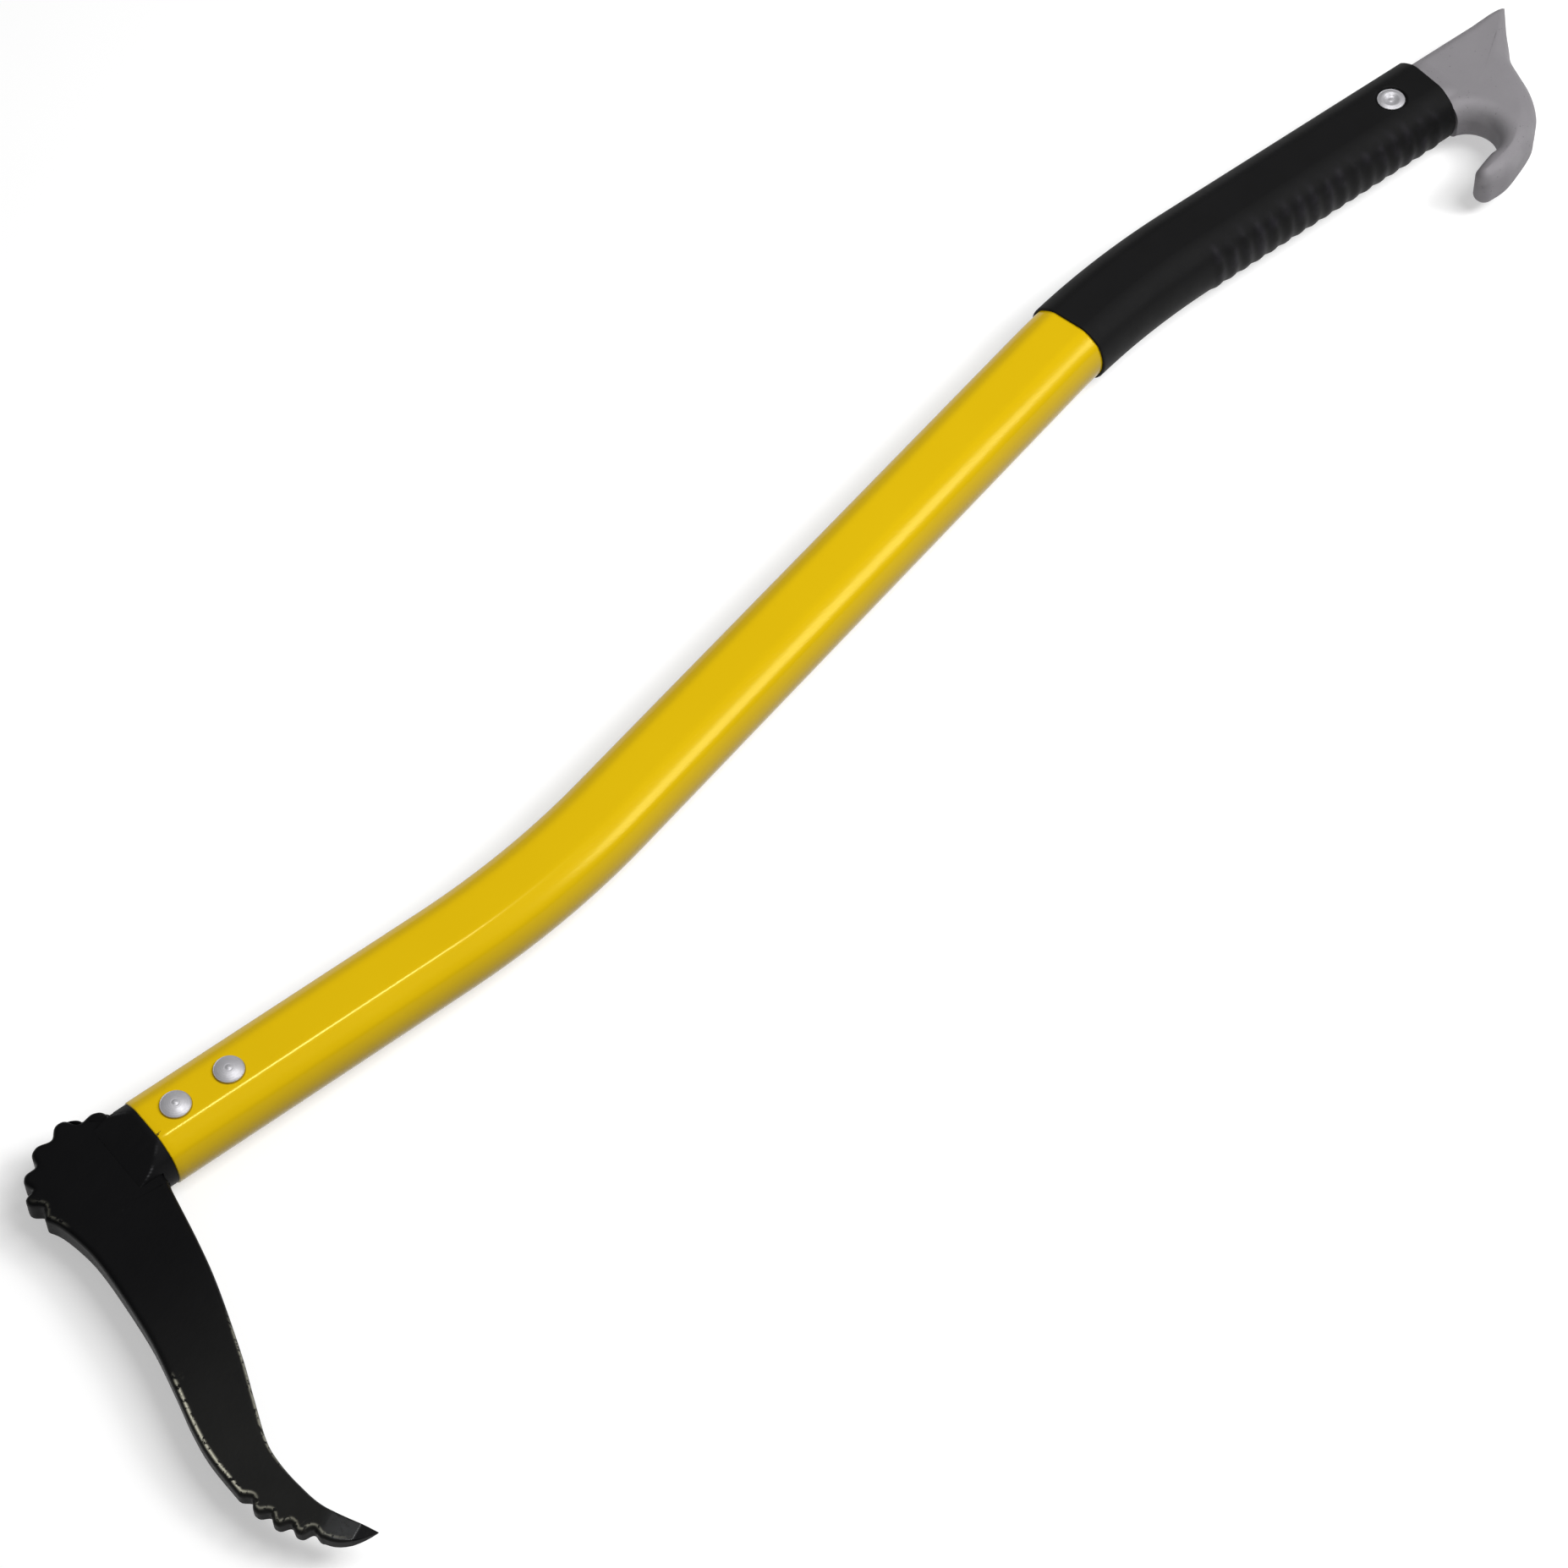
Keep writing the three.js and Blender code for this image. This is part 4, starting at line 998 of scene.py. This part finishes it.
stands_for(handle_tube(), "handle_tube", yellow_coat())
stands_for(grip_sleeve(), "grip_sleeve", black_rubber())
stands_for(hook_head(), "hook_head", black_paint())
stands_for(head_adapter(), "head_adapter", black_nylon())
stands_for(end_hook(), "end_hook", cast_metal())
RIVETS = {
    "head_rivet_front": (HEAD_RIVET_SETBACK, 0.0, 0.0),
    "head_rivet_rear": (HEAD_RIVET_SETBACK + HEAD_RIVET_PITCH, 0.0, 0.0),
    "grip_rivet": (END_X - GRIP_RIVET_SETBACK, END_Y, GRIP_RIVET_DISH),
}
for node, (rivet_x, rivet_y, dish) in RIVETS.items():
    metal = rivet_metal(node + "_metal", rivet_x, rivet_y)
    stands_for(rivet(node, rivet_x, rivet_y, dish), node, metal)


# Floor, lights and camera

# The camera's two places are in millimetres about the handle's mouth. Its far limit, the floor's size and
# the lamps' places are in metres.
CAMERA_AIM = np.array([240.9, -17.6, 0.0])
CAMERA_PLACE = np.array([-314.9, -771.4, 1307.4])
CAMERA_ROLL = math.radians(-2.521)
CAMERA_LENS = 111.54
CAMERA_SENSOR = 36.0
CAMERA_FAR = 50.0
FLOOR_SIZE = 8.0
FLOOR_WHITE = 0.94
FLOOR_BOUNCE = 0.16
FLOOR_GLOW = 0.12
WORLD_LEVEL = 0.15


def floor():
    """A wide sheet under the tool: white as the camera and reflections see it, with a little light of its
    own, and greyer for the light that it throws back on the tool."""
    half = FLOOR_SIZE / 2
    mesh = bpy.data.meshes.new("floor")
    corners = [(-half, -half, 0), (half, -half, 0), (half, half, 0), (-half, half, 0)]
    mesh.from_pydata(corners, [], [(0, 1, 2, 3)])
    sheet = bpy.data.objects.new("floor", mesh)
    bpy.context.scene.collection.objects.link(sheet)
    paint = Paint("floor_paper", Roughness=0.9, Specular_IOR_Level=0.0, Emission_Strength=1.0)
    rays = [paint.node("ShaderNodeLightPath", output=name)
            for name in ("Is Camera Ray", "Is Glossy Ray", "Is Transmission Ray")]
    seen = paint.math("MINIMUM", rays[0] + rays[1] + rays[2], 1.0)
    paint.feed("Base Color", paint.mix(seen, (FLOOR_BOUNCE,) * 3, (FLOOR_WHITE,) * 3))
    paint.feed("Emission Color", paint.mix(seen, (0, 0, 0), (FLOOR_GLOW,) * 3))
    mesh.materials.append(paint.material)


def lamp(name, place, wide, size, power, shadow=True, mirrored=True):
    """A soft box at a place in metres that faces the tool's middle, its wide side along a direction. It can
    be kept from casting shadows or from showing in reflections."""
    light = bpy.data.lights.new(name, "AREA")
    light.shape = "RECTANGLE"
    light.size, light.size_y = size
    light.energy = power
    light.use_shadow = shadow
    box = bpy.data.objects.new(name, light)
    box.visible_glossy = mirrored
    back = Vector(place).normalized()
    right = (Vector(wide) - back * back.dot(wide)).normalized()
    up = back.cross(right)
    box.matrix_world = Matrix.Translation(place) @ Matrix((right, up, back)).transposed().to_4x4()
    bpy.context.scene.collection.objects.link(box)


def world():
    """An even white light from all round."""
    backdrop = bpy.data.worlds.new("studio")
    backdrop.use_nodes = True
    sky = backdrop.node_tree.nodes["Background"]
    sky.inputs["Color"].default_value = (1, 1, 1, 1)
    sky.inputs["Strength"].default_value = WORLD_LEVEL
    bpy.context.scene.world = backdrop


def camera():
    """Looks at a point from a place, both about the handle's mouth, and rolls about its own axis."""
    data = bpy.data.cameras.new("camera")
    data.lens = CAMERA_LENS
    data.sensor_width = CAMERA_SENSOR
    data.sensor_fit = "HORIZONTAL"
    data.clip_end = CAMERA_FAR
    back = CAMERA_PLACE - CAMERA_AIM
    back /= np.linalg.norm(back)
    level = np.cross((0, 0, 1), back)
    level /= np.linalg.norm(level)
    upward = np.cross(back, level)
    right = math.cos(CAMERA_ROLL) * level + math.sin(CAMERA_ROLL) * upward
    up = np.cross(back, right)
    eye = bpy.data.objects.new("camera", data)
    matrix = Matrix.Identity(4)
    for column, axis in enumerate((right, up, back, to_metres(CAMERA_PLACE))):
        for row in range(3):
            matrix[row][column] = float(axis[row])
    eye.matrix_world = matrix
    bpy.context.scene.collection.objects.link(eye)
    bpy.context.scene.camera = eye


floor()
world()
lamp("key_box", place=(1.824, -1.44, 2.208), wide=(0.45, 0.57, 0), size=(1.02, 0.7), power=27)
lamp("overhead_strip", place=(0.107, 0.03, 1.55), wide=(1, 0, 0), size=(0.306, 0.17), power=8.7, shadow=False)
lamp("fill_box", place=(1.0, -1.15, 2.65), wide=(0, 1, 0), size=(1.7, 1.7), power=47, mirrored=False)
camera()

scene = bpy.context.scene
scene.view_settings.view_transform = "Standard"
